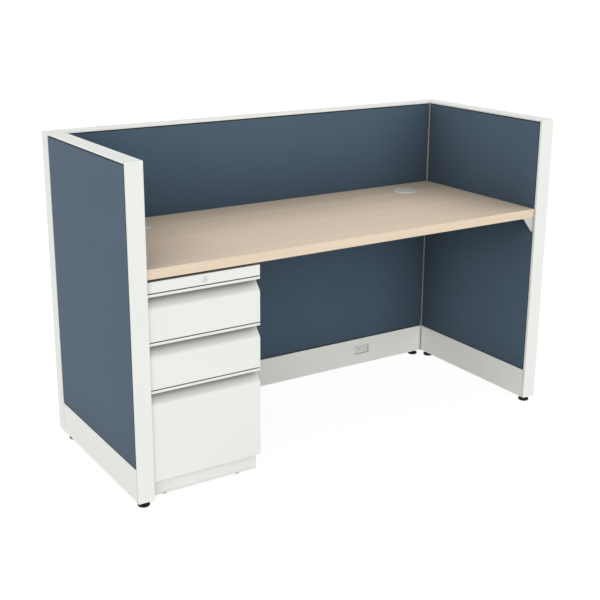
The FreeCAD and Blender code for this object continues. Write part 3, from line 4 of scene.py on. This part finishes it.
import bpy
from mathutils import Euler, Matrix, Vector


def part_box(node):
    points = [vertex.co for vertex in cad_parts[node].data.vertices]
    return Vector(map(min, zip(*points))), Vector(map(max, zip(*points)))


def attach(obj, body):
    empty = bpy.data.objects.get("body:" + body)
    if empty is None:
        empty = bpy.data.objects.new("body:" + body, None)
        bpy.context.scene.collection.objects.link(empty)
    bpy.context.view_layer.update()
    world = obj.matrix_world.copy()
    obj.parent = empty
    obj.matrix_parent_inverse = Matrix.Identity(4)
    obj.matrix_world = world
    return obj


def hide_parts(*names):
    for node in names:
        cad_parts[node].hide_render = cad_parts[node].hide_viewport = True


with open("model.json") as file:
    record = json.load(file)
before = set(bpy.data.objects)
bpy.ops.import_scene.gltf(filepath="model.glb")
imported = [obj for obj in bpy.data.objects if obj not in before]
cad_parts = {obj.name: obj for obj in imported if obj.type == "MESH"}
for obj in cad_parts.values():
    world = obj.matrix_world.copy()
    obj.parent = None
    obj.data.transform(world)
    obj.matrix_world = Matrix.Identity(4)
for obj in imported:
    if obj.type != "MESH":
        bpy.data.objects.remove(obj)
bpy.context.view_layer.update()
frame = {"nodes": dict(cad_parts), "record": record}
nodes = frame["nodes"]
print("frame loaded:", len(nodes), "nodes")


# Node trees

nodeSpacing = 160        # from node to node in Blender's editor
leftmostNode = -2400     # where a material's first node stands, left of its shader
recessSamples = 8


class NodeTree:
    # a node tree whose nodes are added one by one, left to right

    def __init__(self, tree, column=0):
        self.tree = tree
        self.column = column

    def add(self, kind, inputs=None, **settings):
        node = self.tree.nodes.new(kind)
        self.column += nodeSpacing
        node.location = (self.column, 0)
        for name, setting in settings.items():
            setattr(node, name, setting)
        for name, source in (inputs or {}).items():
            self.feed(node.inputs[name], source)
        return node.outputs

    def feed(self, socket, source):
        # the source is a value, the output of a node, or a list of outputs
        if isinstance(source, bpy.types.NodeSocket):
            self.tree.links.new(source, socket)
        elif isinstance(source, list):
            for output in source:
                self.tree.links.new(output, socket)
        else:
            socket.default_value = source

    def maths(self, kind, *sources):
        return self.add("ShaderNodeMath", dict(enumerate(sources)), operation=kind)[0]

    def span(self, factor, low, high):
        return self.add("ShaderNodeMapRange", {"Value": factor, "To Min": low, "To Max": high})[0]


class Shade(NodeTree):
    # a material, with nodes that feed its Principled shader

    def __init__(self, name):
        self.material = bpy.data.materials.new(name)
        self.material.use_nodes = True
        super().__init__(self.material.node_tree, leftmostNode)
        self.shader = self.tree.nodes["Principled BSDF"]

    def finish(self, inputs):
        for name, source in inputs.items():
            self.feed(self.shader.inputs[name], source)
        return self.material

    def place(self, scale=(1, 1, 1)):
        return self.stretched(self.add("ShaderNodeTexCoord")["Object"], scale)

    def stretched(self, where, scale):
        return self.add("ShaderNodeMapping", {"Vector": where, "Scale": scale})[0]

    def noise(self, where, scale, detail, rough=0.5):
        return self.add("ShaderNodeTexNoise", {"Vector": where, "Scale": scale, "Detail": detail,
                                               "Roughness": rough})["Fac"]

    def ramp(self, factor, places, colours):
        # from the first colour to the second, between the two places
        made = self.add("ShaderNodeValToRGB", {"Fac": factor})["Color"]
        for mark, place, colour in zip(made.node.color_ramp.elements, places, colours):
            mark.position = place
            mark.color = colour
        return made

    def mix(self, factor, first, second, kind="MIX"):
        # in a Mix node the two colours are inputs 6 and 7, and their mix is output 2
        return self.add("ShaderNodeMix", {0: factor, 6: first, 7: second},
                        data_type="RGBA", blend_type=kind)[2]

    def recess(self, colour, shadow):
        # painted shade: the colour is made darker where walls nearer than the reach shut the surface in, as
        # ambient occlusion finds them
        light = self.add("ShaderNodeAmbientOcclusion", {"Distance": shadow["reach"]},
                         samples=recessSamples, only_local=shadow["ownWallsOnly"])["AO"]
        return self.mix(1.0, colour, self.span(light, shadow["least"], 1.0), "MULTIPLY")

    def bump(self, height, strength, distance):
        return self.add("ShaderNodeBump", {"Height": height, "Strength": strength, "Distance": distance})[0]


def srgb(*parts):
    # a colour as read off a picture, 0 to 255, in the shader's linear scale, with full alpha
    def linear(part):
        part /= 255
        return part / 12.92 if part <= 0.04045 else ((part + 0.055) / 1.055) ** 2.4
    return (*(linear(part) for part in parts), 1)


def shaded(colour, share):
    return (*(part * share for part in colour[:3]), 1)


def grey(level):
    return (level, level, level, 1)


# Materials. Every pattern is laid on Object coordinates, in metres.
# A painted shade darkens the colour where walls close in on a surface, in its recesses, corners and gaps;
# it has its reach, in metres, and the least share of the colour that it leaves.

powderCoat = {
    "colour": srgb(240, 242, 237),
    "tintShare": 0.98,         # darkest drift of the colour
    "driftScale": 3.0,         # waves of that drift per metre
    "driftDetail": 4.0,
    "driftRange": (0.3, 0.7),
    "peelScale": 520.0,        # orange peel, waves per metre
    "peelDetail": 2.0,
    "peelStrength": 0.15,
    "peelDepth": 0.00004,
    "roughness": (0.38, 0.5),
    # the brackets take a darker share of the colour: painted shade under the board
    "bracketShadeTone": 0.7,        # the brackets' share of the colour
    # painted shade for each group of coated pieces: in the drawer fronts' pulls, inside the drawers, around
    # the pedestal, in the panels' reveals and joints, under the board, and in the gaps between the fronts
    "onFronts": {"reach": 0.14, "least": 0.15, "ownWallsOnly": True},
    "inDrawers": {"reach": 0.075, "least": 0.3, "ownWallsOnly": True},
    "onPedestal": {"reach": 0.025, "least": 0.35, "ownWallsOnly": False},
    "onPanels": {"reach": 0.012, "least": 0.05, "ownWallsOnly": False},
    "underBoard": {"reach": 0.12, "least": 0.6, "ownWallsOnly": False},
    "gaps": {"reach": 0.008, "least": 0.1, "ownWallsOnly": False},
}


def makePowderCoat(name, *recesses, shadeTone=1.0):
    shade = Shade(name)
    where = shade.place()
    drift = shade.noise(where, powderCoat["driftScale"], powderCoat["driftDetail"])
    # the shade tone darkens the whole colour, painted shade for the brackets
    tints = [shaded(powderCoat["colour"], share) for share in (powderCoat["tintShare"] * shadeTone, shadeTone)]
    colour = shade.ramp(drift, powderCoat["driftRange"], tints)
    # painted shade, laid on in each of the given places
    for recess in recesses:
        colour = shade.recess(colour, powderCoat[recess])
    peel = shade.noise(where, powderCoat["peelScale"], powderCoat["peelDetail"])
    return shade.finish({
        "Base Color": colour,
        "Roughness": shade.span(peel, *powderCoat["roughness"]),
        "Normal": shade.bump(peel, powderCoat["peelStrength"], powderCoat["peelDepth"]),
    })


cloth = {
    "warp": srgb(89, 111, 131),
    "weft": srgb(72, 91, 109),
    "fleck": srgb(60, 76, 91),
    "threadPitch": 0.0017,      # from one thread to the next
    "threadBump": 0.5,
    "threadDepth": 0.0004,
    "overlap": (0.2, 0.8),      # the warp's share of the colour, where it lies under and where over
    "slubStretch": 0.06,        # a slub runs this share as fine along its thread
    "slubDetail": 2.0,
    "slubShare": 0.7,           # of the other colour in the strongest slub
    "wearScale": 5.0,           # waves of wear per metre
    "wearDetail": 3.0,
    "wearShare": 0.22,
    "roughness": (0.85, 0.97),
    "sheen": 0.12,
    "sheenRoughness": 0.5,
    "specular": 0.2,
    # painted shade where the panels meet each other and the board
    "recess": {"reach": 0.28, "least": 0.22, "ownWallsOnly": False},
}


def makeCloth(name):
    # a plain weave: threads run up, and along whichever of X and Y the panel follows
    shade = Shade(name)
    parts = shade.add("ShaderNodeSeparateXYZ", {"Vector": shade.add("ShaderNodeTexCoord")["Object"]})
    along = shade.maths("ADD", parts["X"], parts["Y"])
    flat = shade.add("ShaderNodeCombineXYZ", {"X": along, "Z": parts["Z"]})[0]
    stretch = cloth["slubStretch"]

    def wave(way):
        return shade.maths("SINE", shade.maths("MULTIPLY", way, math.pi / cloth["threadPitch"]))

    def slub(scale):
        return shade.noise(shade.stretched(flat, scale), 1 / cloth["threadPitch"], cloth["slubDetail"])

    over = shade.maths("MULTIPLY", wave(along), wave(parts["Z"]))
    warpSlub = slub((1, 1, stretch))
    weftSlub = slub((stretch, 1, 1))
    warp = shade.mix(shade.span(warpSlub, 0.0, cloth["slubShare"]), cloth["warp"], cloth["fleck"])
    weft = shade.mix(shade.span(weftSlub, 0.0, cloth["slubShare"]), cloth["weft"], cloth["warp"])
    woven = shade.mix(shade.span(over, *cloth["overlap"]), weft, warp)
    wear = shade.noise(flat, cloth["wearScale"], cloth["wearDetail"])
    worn = shade.mix(shade.span(wear, 0.0, cloth["wearShare"]), woven, cloth["fleck"])
    return shade.finish({
        # painted shade where other pieces close in on the cloth
        "Base Color": shade.recess(worn, cloth["recess"]),
        "Roughness": shade.span(warpSlub, *cloth["roughness"]),
        "Normal": shade.bump(shade.span(over, 0.0, 1.0), cloth["threadBump"], cloth["threadDepth"]),
        "Sheen Weight": cloth["sheen"],
        "Sheen Roughness": cloth["sheenRoughness"],
        "Specular IOR Level": cloth["specular"],
    })


laminates = {
    "maple laminate": {
        "pale": srgb(245, 226, 202),
        "dark": srgb(237, 216, 191),
        "pore": srgb(222, 199, 172),
        "scale": 26.0,              # bands per metre across the grain
        "stretch": 0.035,           # the grain runs this share as fine along the board
        "poreScale": 420.0,
        "roughness": (0.42, 0.52),
        # painted shade on the board where the panels close in
        "recess": {"reach": 0.35, "least": 0.33, "ownWallsOnly": False},
    },
    "maple edge band": {
        "pale": srgb(238, 219, 195),
        "dark": srgb(228, 207, 181),
        "pore": srgb(214, 190, 163),
        "scale": 60.0,
        "stretch": 0.03,
        "poreScale": 600.0,
        "roughness": (0.4, 0.5),
        # painted shade on the edge band where the panels close in
        "recess": {"reach": 0.1, "least": 0.7, "ownWallsOnly": False},
    },
}

# the printed grain, drawn alike on the board and on its edge
grain = {
    "bandDetail": 6.0,
    "bandRoughness": 0.62,
    "bandRange": (0.32, 0.66),
    "streakStretch": 0.6,       # times the stretch of the bands
    "streakScale": 6,           # times the scale of the bands
    "streakDetail": 4.0,
    "streakRoughness": 0.6,
    "streakShare": 0.45,
    "poreStretch": 0.8,         # times the stretch of the bands
    "poreDetail": 2.0,
    "poreRange": (0.62, 0.78),
    "poreShare": 0.5,
    "poreBump": 0.12,
    "poreDepth": 0.00005,
}


def makeLaminate(name):
    # printed maple with its grain along X
    finish = laminates[name]
    shade = Shade(name)

    def stretched(share):
        return shade.place((finish["stretch"] * share, 1, 1))

    bands = shade.noise(stretched(1), finish["scale"], grain["bandDetail"], grain["bandRoughness"])
    streaks = shade.noise(stretched(grain["streakStretch"]), finish["scale"] * grain["streakScale"],
                          grain["streakDetail"], grain["streakRoughness"])
    pores = shade.noise(stretched(grain["poreStretch"]), finish["poreScale"], grain["poreDetail"])
    banded = shade.ramp(bands, grain["bandRange"], (finish["dark"], finish["pale"]))
    streaked = shade.mix(shade.span(streaks, 0.0, grain["streakShare"]), banded, finish["dark"])
    poreShare = shade.ramp(pores, grain["poreRange"], (grey(0), grey(grain["poreShare"])))
    dotted = shade.mix(poreShare, streaked, finish["pore"])
    return shade.finish({
        # painted shade where other pieces close in on the surface
        "Base Color": shade.recess(dotted, finish["recess"]),
        "Roughness": shade.span(streaks, *finish["roughness"]),
        "Normal": shade.bump(pores, grain["poreBump"], grain["poreDepth"]),
    })


plastics = {
    "black glide plastic": {"colour": srgb(13, 13, 14), "roughness": (0.6, 0.75), "etching": 900.0},
    "grey grommet plastic": {"colour": srgb(204, 204, 199), "roughness": (0.42, 0.56), "etching": 1400.0},
    "white receptacle plastic": {"colour": srgb(233, 235, 230), "roughness": (0.3, 0.4), "etching": 1200.0,
                                 # painted shade in the receptacle's own slots and hollows
                                 "recess": {"reach": 0.009, "least": 0.1, "ownWallsOnly": True}},
}

# what all moulded pieces share
moulding = {
    "etchingDetail": 2.0,
    "etchingBump": 0.25,
    "etchingDepth": 0.00004,
    "driftScale": 20.0,
    "driftDetail": 2.0,
    "driftShare": 0.5,
    "driftTone": 0.92,
}


def makePlastic(name):
    # moulded plastic with a fine etched grain
    finish = plastics[name]
    shade = Shade(name)
    etching = shade.noise(shade.place(), finish["etching"], moulding["etchingDetail"])
    drift = shade.noise(shade.place(), moulding["driftScale"], moulding["driftDetail"])
    colour = shade.mix(shade.span(drift, 0.0, moulding["driftShare"]), finish["colour"],
                       shaded(finish["colour"], moulding["driftTone"]))
    # painted shade in the piece's own hollows, where the finish asks for it
    if "recess" in finish:
        colour = shade.recess(colour, finish["recess"])
    return shade.finish({
        "Base Color": colour,
        "Roughness": shade.span(etching, *finish["roughness"]),
        "Normal": shade.bump(etching, moulding["etchingBump"], moulding["etchingDepth"]),
    })


# the scale of the brush marks is small along the way that the metal is brushed
metals = {
    "mill steel": {
        "colour": srgb(176, 178, 180), "cloudTone": 0.8, "roughness": (0.36, 0.55), "brush": (1, 1, 0.05),
        # painted shade, near black deep in the panels' reveals and joints
        "recess": {"reach": 0.03, "least": 0.05, "ownWallsOnly": False},
    },
    "bright zinc": {
        "colour": srgb(204, 207, 210), "cloudTone": 0.8, "roughness": (0.22, 0.4), "brush": (1, 0.06, 1),
        # painted shade in the slide's own folds
        "recess": {"reach": 0.01, "least": 0.5, "ownWallsOnly": True},
    },
    "lock chrome": {
        "colour": srgb(228, 230, 230), "cloudTone": 0.94, "roughness": (0.2, 0.3), "brush": (1, 1, 1),
        # painted shade in the lock's keyway and around its plug
        "recess": {"reach": 0.009, "least": 0.02, "ownWallsOnly": True},
    },
}

# what all bare metals share
plating = {
    "brushScale": 900.0,
    "brushDetail": 3.0,
    "brushBump": 0.1,
    "brushDepth": 0.00003,
    "cloudScale": 35.0,
    "cloudDetail": 3.0,
    "cloudShare": 0.6,
}


def makeMetal(name):
    # bare metal, brushed along one direction, with a cloudy plating
    finish = metals[name]
    shade = Shade(name)
    brushed = shade.noise(shade.place(finish["brush"]), plating["brushScale"], plating["brushDetail"])
    cloud = shade.noise(shade.place(), plating["cloudScale"], plating["cloudDetail"])
    colour = shade.mix(shade.span(cloud, 0.0, plating["cloudShare"]), finish["colour"],
                       shaded(finish["colour"], finish["cloudTone"]))
    return shade.finish({
        # painted shade in the metal's recesses
        "Base Color": shade.recess(colour, finish["recess"]),
        "Metallic": 1.0,
        "Roughness": shade.span(brushed, *finish["roughness"]),
        "Normal": shade.bump(brushed, plating["brushBump"], plating["brushDepth"]),
    })


finishes = {
    # the trims, caps and covers get painted shade in the panels' reveals and joints
    "powder_white": makePowderCoat("powder coat", "onPanels"),
    "fabric_slate": makeCloth("slate panel cloth"),
    "maple_laminate": makeLaminate("maple laminate"),
    "maple_edge": makeLaminate("maple edge band"),
    "black_plastic": makePlastic("black glide plastic"),
    "grey_plastic": makePlastic("grey grommet plastic"),
    "white_plastic": makePlastic("white receptacle plastic"),
    "frame_steel": makeMetal("mill steel"),
    "zinc_steel": makeMetal("bright zinc"),
    "chrome_lock": makeMetal("lock chrome"),
}

# coated pieces with painted shade of their own in their corners and recesses; the brackets are also painted
# darker all over, as shade under the board
coats = {
    # the fronts get painted shade in their pulls and in the gaps between them
    "fronts": makePowderCoat("drawer front powder coat", "onFronts", "gaps"),
    "boxes": makePowderCoat("drawer box powder coat", "inDrawers"),
    "pedestal": makePowderCoat("pedestal powder coat", "onPedestal"),
    "brackets": makePowderCoat("bracket powder coat", "underBoard", shadeTone=powderCoat["bracketShadeTone"]),
}
ownFinish = {
    "pedestal_case": coats["pedestal"],
    "pedestal_lock_rail": coats["pedestal"],
    "worksurface_gusset": coats["brackets"],
    "worksurface_rear_angles": coats["brackets"],
}
for drawer in ("top_box", "middle_box", "file"):
    ownFinish[drawer + "_drawer_front"] = coats["fronts"]
    ownFinish[drawer + "_drawer_box"] = coats["boxes"]
for part in frame["record"]["subparts"]:
    mesh = nodes[part["node"]].data
    mesh.materials.clear()
    mesh.materials.append(ownFinish.get(part["node"], finishes[part["material_slot"]]))
print("materials:", len(finishes) + len(coats))


# Pieces that Geometry Nodes make

class Grower(NodeTree):
    # a Geometry Nodes tree with named inputs

    def __init__(self, name, inputs):
        super().__init__(bpy.data.node_groups.new(name, "GeometryNodeTree"))
        sockets = self.tree.interface
        sockets.new_socket("Geometry", in_out="INPUT", socket_type="NodeSocketGeometry")
        sockets.new_socket("Geometry", in_out="OUTPUT", socket_type="NodeSocketGeometry")
        self.keys = {}
        for label in inputs:
            kind = "NodeSocketMaterial" if label == "finish" else "NodeSocketFloat"
            self.keys[label] = sockets.new_socket(label, in_out="INPUT", socket_type=kind).identifier
        self.given = self.add("NodeGroupInput")

    def times(self, first, second):
        return self.maths("MULTIPLY", first, second)

    def spot(self, x=0.0, y=0.0, z=0.0):
        return self.add("ShaderNodeCombineXYZ", {"X": x, "Y": y, "Z": z})[0]

    def moved(self, shape, spot):
        return self.add("GeometryNodeTransform", {"Geometry": shape, "Translation": spot})[0]

    def joined(self, *shapes):
        return self.add("GeometryNodeJoinGeometry", {"Geometry": list(shapes)})[0]

    def close(self, shape):
        # the export drops instances, so they are made real
        real = self.add("GeometryNodeRealizeInstances", {"Geometry": shape})[0]
        painted = self.add("GeometryNodeSetMaterial",
                           {"Geometry": real, "Material": self.given["finish"]})[0]
        self.add("NodeGroupOutput", {"Geometry": painted})

    def grow(self, name, seed, inputs):
        # the tree's result on the seed mesh, as a plain mesh
        holder = bpy.data.objects.new(name + "Seed", seed)
        bpy.context.scene.collection.objects.link(holder)
        modifier = holder.modifiers.new("grow", "NODES")
        modifier.node_group = self.tree
        for label, setting in inputs.items():
            modifier[self.keys[label]] = setting
        bpy.context.view_layer.update()
        graph = bpy.context.evaluated_depsgraph_get()
        mesh = bpy.data.meshes.new_from_object(holder.evaluated_get(graph))
        bpy.data.objects.remove(holder)
        piece = bpy.data.objects.new(name, mesh)
        bpy.context.scene.collection.objects.link(piece)
        return piece


screws = {
    "headRadius": 0.0046,
    "headHeight": 0.0026,
    "dome": 0.0011,            # how much lower the head is at its rim
    "crossLength": 0.0046,
    "crossWidth": 0.001,
    "crossDepth": 0.0015,
    "coreRadius": 0.0019,
    "threadHeight": 0.00045,
    "threadPitch": 0.0013,
    "shankLength": 0.0114,
}

# how finely a screw is cut, where its thread lies, and how its cross is turned
screwMesh = {
    "headSides": 24,
    "headLayers": 2,
    "headRings": 5,
    "coreSides": 16,
    "threadSteps": 16,         # in each turn
    "threadCorners": 3,
    "threadLength": 0.85,      # share of the shank
    "threadEnd": 0.96,         # share of the shank, from the head
    "turnSeed": 7,
}

# where the heads bear: each row has its x, its y, its drops under the board and the way its heads face
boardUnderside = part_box("worksurface")[0].z
angleScrews = (-0.687, -0.657, 0.657, 0.687)
down, leftward, forward = (0, 0, -1), (-1, 0, 0), (0, -1, 0)
screwRows = [
    ((0.73675,), (-0.292, -0.262), (0.0025,), down),          # the gusset, into the board
    (angleScrews, (0.2545,), (0.003,), down),                 # the rear angles, into the board
    ((-0.671, -0.471), (-0.202, 0.042), (0.0015,), down),     # the pedestal's strips, into the board
    ((0.7595,), (-0.312,), (0.00925, 0.02125), leftward),     # the gusset, into the right wing
    (angleScrews, (0.278,), (0.028,), forward),               # the rear angles, into the back panel
]
screwPlaces = [((x, y, boardUnderside - drop), facing)
               for xs, ys, drops, facing in screwRows for x in xs for y in ys for drop in drops]


def makeHead(made):
    # a disc, domed and cut by the two bars of the cross
    given = made.given
    disc = made.add("GeometryNodeMeshCylinder",
                    {"Vertices": screwMesh["headSides"], "Side Segments": screwMesh["headLayers"],
                     "Fill Segments": screwMesh["headRings"],
                     "Radius": given["headRadius"], "Depth": given["headHeight"]},
                    fill_type="TRIANGLE_FAN")[0]
    disc = made.moved(disc, made.spot(z=made.times(given["headHeight"], 0.5)))
    # a point drops with the square of its share of the radius
    spot = made.add("ShaderNodeSeparateXYZ", {"Vector": made.add("GeometryNodeInputPosition")[0]})
    square = made.maths("ADD", made.times(spot["X"], spot["X"]), made.times(spot["Y"], spot["Y"]))
    share = made.maths("DIVIDE", square, made.times(given["headRadius"], given["headRadius"]))
    upper = made.maths("DIVIDE", spot["Z"], given["headHeight"])
    drop = made.times(made.times(share, upper), made.times(given["dome"], -1.0))
    dome = made.add("GeometryNodeSetPosition", {"Geometry": disc, "Offset": made.spot(z=drop)})[0]
    bars = []
    for length, width in (("crossLength", "crossWidth"), ("crossWidth", "crossLength")):
        # a bar's middle is at the head's top, so half of it cuts
        size = made.spot(given[length], given[width], made.times(given["crossDepth"], 2.0))
        bar = made.add("GeometryNodeMeshCube", {"Size": size})[0]
        bars.append(made.moved(bar, made.spot(z=given["headHeight"])))
    return made.add("GeometryNodeMeshBoolean",
                    {"Mesh 1": dome, "Mesh 2": bars}, operation="DIFFERENCE")[0]


def makeShank(made):
    # a round core with a helix swept along it
    given = made.given
    core = made.add("GeometryNodeMeshCylinder",
                    {"Vertices": screwMesh["coreSides"], "Radius": given["coreRadius"],
                     "Depth": given["shankLength"]})[0]
    core = made.moved(core, made.spot(z=made.times(given["shankLength"], -0.5)))
    length = made.times(given["shankLength"], screwMesh["threadLength"])
    helix = made.add("GeometryNodeCurveSpiral",
                     {"Resolution": screwMesh["threadSteps"], "Height": length,
                      "Rotations": made.maths("DIVIDE", length, given["threadPitch"]),
                      "Start Radius": given["coreRadius"], "End Radius": given["coreRadius"]})[0]
    ridge = made.add("GeometryNodeCurvePrimitiveCircle",
                     {"Resolution": screwMesh["threadCorners"], "Radius": given["threadHeight"]})[0]
    thread = made.add("GeometryNodeCurveToMesh",
                      {"Curve": helix, "Profile Curve": ridge, "Fill Caps": True})[0]
    thread = made.moved(thread, made.spot(z=made.times(given["shankLength"], -screwMesh["threadEnd"])))
    return core, thread


def screwTree():
    made = Grower("pan head screws", [*screws, "finish"])
    whole = made.joined(makeHead(made), *makeShank(made))
    facing = made.add("GeometryNodeInputNamedAttribute", {"Name": "facing"}, data_type="FLOAT_VECTOR")[0]
    aimed = made.add("FunctionNodeAlignRotationToVector", {"Vector": facing}, axis="Z")[0]
    # the cross looks the same after a quarter turn
    spin = made.add("FunctionNodeRandomValue",
                    {"Min": 0.0, "Max": math.pi / 2, "Seed": screwMesh["turnSeed"]}, data_type="FLOAT")
    turn = made.add("FunctionNodeAxisAngleToRotation", {"Axis": (0, 0, 1), "Angle": spin[1]})[0]
    turned = made.add("FunctionNodeRotateRotation", {"Rotation": aimed, "Rotate By": turn},
                      rotation_space="LOCAL")[0]
    made.close(made.add("GeometryNodeInstanceOnPoints",
                        {"Points": made.given["Geometry"], "Instance": whole, "Rotation": turned})[0])
    return made


def makeScrews():
    seed = bpy.data.meshes.new("screw places")
    seed.from_pydata([place for place, facing in screwPlaces], [], [])
    marks = seed.attributes.new("facing", "FLOAT_VECTOR", "POINT")
    for mark, (place, facing) in zip(marks.data, screwPlaces):
        mark.vector = facing
    piece = screwTree().grow("panHeadScrews", seed, {**screws, "finish": finishes["zinc_steel"]})
    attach(piece, "workstation")
    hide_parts("bracket_screws")
    print("screws:", len(screwPlaces), "with", len(piece.data.polygons), "faces")


slideBalls = {
    "pitch": 0.0105,           # from ball to ball
    "ballRadius": 0.0014,
    "cageWidth": 0.0042,
    "cageThickness": 0.0005,
}
ballMesh = {"segments": 8, "rings": 5}   # how finely a ball is cut

# the rows run where the members always overlap
ballRun = (-0.284, -0.076)
slideHeight = 0.0457
slideBottoms = {"top_box": 0.563, "middle_box": 0.4128, "file": 0.1826}
slideSides = (-0.753, -0.389)   # midway between each slide's two webs
rowInset = {"outer": 0.0028, "inner": 0.0072}   # from the slide's lower and upper faces


def ballTree():
    made = Grower("ball rows", [*slideBalls, "finish"])
    given = made.given
    line = made.add("GeometryNodeMeshToCurve", {"Mesh": given["Geometry"]})[0]
    dots = made.add("GeometryNodeResampleCurve",
                    {"Curve": line, "Length": given["pitch"]}, mode="LENGTH")[0]
    ball = made.add("GeometryNodeMeshUVSphere",
                    {"Segments": ballMesh["segments"], "Rings": ballMesh["rings"],
                     "Radius": given["ballRadius"]})[0]
    balls = made.add("GeometryNodeInstanceOnPoints", {"Points": dots, "Instance": ball})[0]
    level = made.add("GeometryNodeSetCurveNormal", {"Curve": line}, mode="Z_UP")[0]
    section = made.add("GeometryNodeCurvePrimitiveQuadrilateral",
                       {"Width": given["cageWidth"], "Height": given["cageThickness"]})[0]
    cage = made.add("GeometryNodeCurveToMesh",
                    {"Curve": level, "Profile Curve": section, "Fill Caps": True})[0]
    made.close(made.joined(balls, cage))
    return made


def makeBalls():
    tree = ballTree()
    rows = {}
    for drawer, bottom in slideBottoms.items():
        for x in slideSides:
            for layer, inset in rowInset.items():
                body = "workstation" if layer == "outer" else drawer + "_slide_middle"
                for z in (bottom + inset, bottom + slideHeight - inset):
                    rows.setdefault(body, []).append([(x, y, z) for y in ballRun])
    for body, ends in rows.items():
        seed = bpy.data.meshes.new(body + " ball rows")
        lines = [(2 * n, 2 * n + 1) for n in range(len(ends))]
        seed.from_pydata([end for row in ends for end in row], lines, [])
        piece = tree.grow(body + "Balls", seed, {**slideBalls, "finish": finishes["zinc_steel"]})
        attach(piece, body)
    print("ball rows:", sum(len(ends) for ends in rows.values()))


makeScrews()
makeBalls()


# Floor, light and camera

studio = {
    "floorSize": 40.0,
    "floorGrey": 0.9,
    "floorShadow": 0.16,         # how much of the floor's look is its own shading
    "floorWhite": 1.1,
    "worldStrength": 0.73,       # on the object
    "worldSeen": 1.0,            # to the camera
    "keyStrength": 1.1,
    "keyAngle": math.radians(60),
    "keyDirection": (0.50, 0.81, -0.31),     # the way its light travels
}


def seenShare(made):
    # 1 for rays that show the studio itself, 0 for those that light the object
    path = made.add("ShaderNodeLightPath")
    seen = made.maths("MAXIMUM", path["Is Camera Ray"], path["Is Glossy Ray"])
    return made.maths("MAXIMUM", seen, path["Is Transmission Ray"])


def makeFloor():
    # the camera sees it as white, less the object's shadow
    half = studio["floorSize"] / 2
    corners = [(-half, -half, 0), (half, -half, 0), (half, half, 0), (-half, half, 0)]
    mesh = bpy.data.meshes.new("floor")
    mesh.from_pydata(corners, [], [(0, 1, 2, 3)])
    floor = bpy.data.objects.new("floor", mesh)
    bpy.context.scene.collection.objects.link(floor)
    shade = Shade("floor")
    diffuse = shade.add("ShaderNodeBsdfDiffuse", {"Color": grey(studio["floorGrey"])})[0]
    white = shade.add("ShaderNodeEmission", {"Color": grey(1), "Strength": studio["floorWhite"]})[0]
    share = shade.maths("MULTIPLY", seenShare(shade), 1 - studio["floorShadow"])
    blend = shade.add("ShaderNodeMixShader", {0: share, 1: diffuse, 2: white})[0]
    shade.feed(shade.tree.nodes["Material Output"].inputs["Surface"], blend)
    shade.tree.nodes.remove(shade.shader)
    mesh.materials.append(shade.material)


def lightStudio():
    world = bpy.data.worlds.new("studio")
    bpy.context.scene.world = world
    world.use_nodes = True
    sky = NodeTree(world.node_tree)
    background = sky.tree.nodes["Background"].inputs
    strength = sky.span(seenShare(sky), studio["worldStrength"], studio["worldSeen"])
    sky.feed(background["Strength"], strength)
    sky.feed(background["Color"], grey(1))

    lamp = bpy.data.lights.new("key", "SUN")
    lamp.energy = studio["keyStrength"]
    lamp.angle = studio["keyAngle"]
    key = bpy.data.objects.new("key", lamp)
    key.rotation_mode = "QUATERNION"
    key.rotation_quaternion = Vector(studio["keyDirection"]).to_track_quat("-Z", "Y")
    bpy.context.scene.collection.objects.link(key)


# solved from the panels' corners in the photo, whose pixels these are
lens = {
    "place": (-1.97778, -3.02882, 1.59403),
    "yaw": math.radians(-31.85),
    "pitch": math.radians(-16.5),
    "roll": math.radians(0.09),
    "focalPixels": 1067.79,
    "centrePixels": (283.22, 278.61),
    "imagePixels": 600,
    "sensor": 36.0,
}


def placeCamera():
    data = bpy.data.cameras.new("camera")
    camera = bpy.data.objects.new("camera", data)
    bpy.context.scene.collection.objects.link(camera)
    side = lens["imagePixels"]
    data.sensor_width = lens["sensor"]
    data.lens = lens["focalPixels"] * lens["sensor"] / side
    data.shift_x = (side / 2 - lens["centrePixels"][0]) / side
    data.shift_y = (lens["centrePixels"][1] - side / 2) / side
    camera.location = lens["place"]
    aim = Euler((math.pi / 2 + lens["pitch"], 0, lens["yaw"])).to_matrix()
    camera.rotation_euler = (aim @ Euler((0, 0, lens["roll"])).to_matrix()).to_euler()
    bpy.context.scene.camera = camera


makeFloor()
lightStudio()
placeCamera()
bpy.context.scene.view_settings.view_transform = "Standard"
print("studio ready")
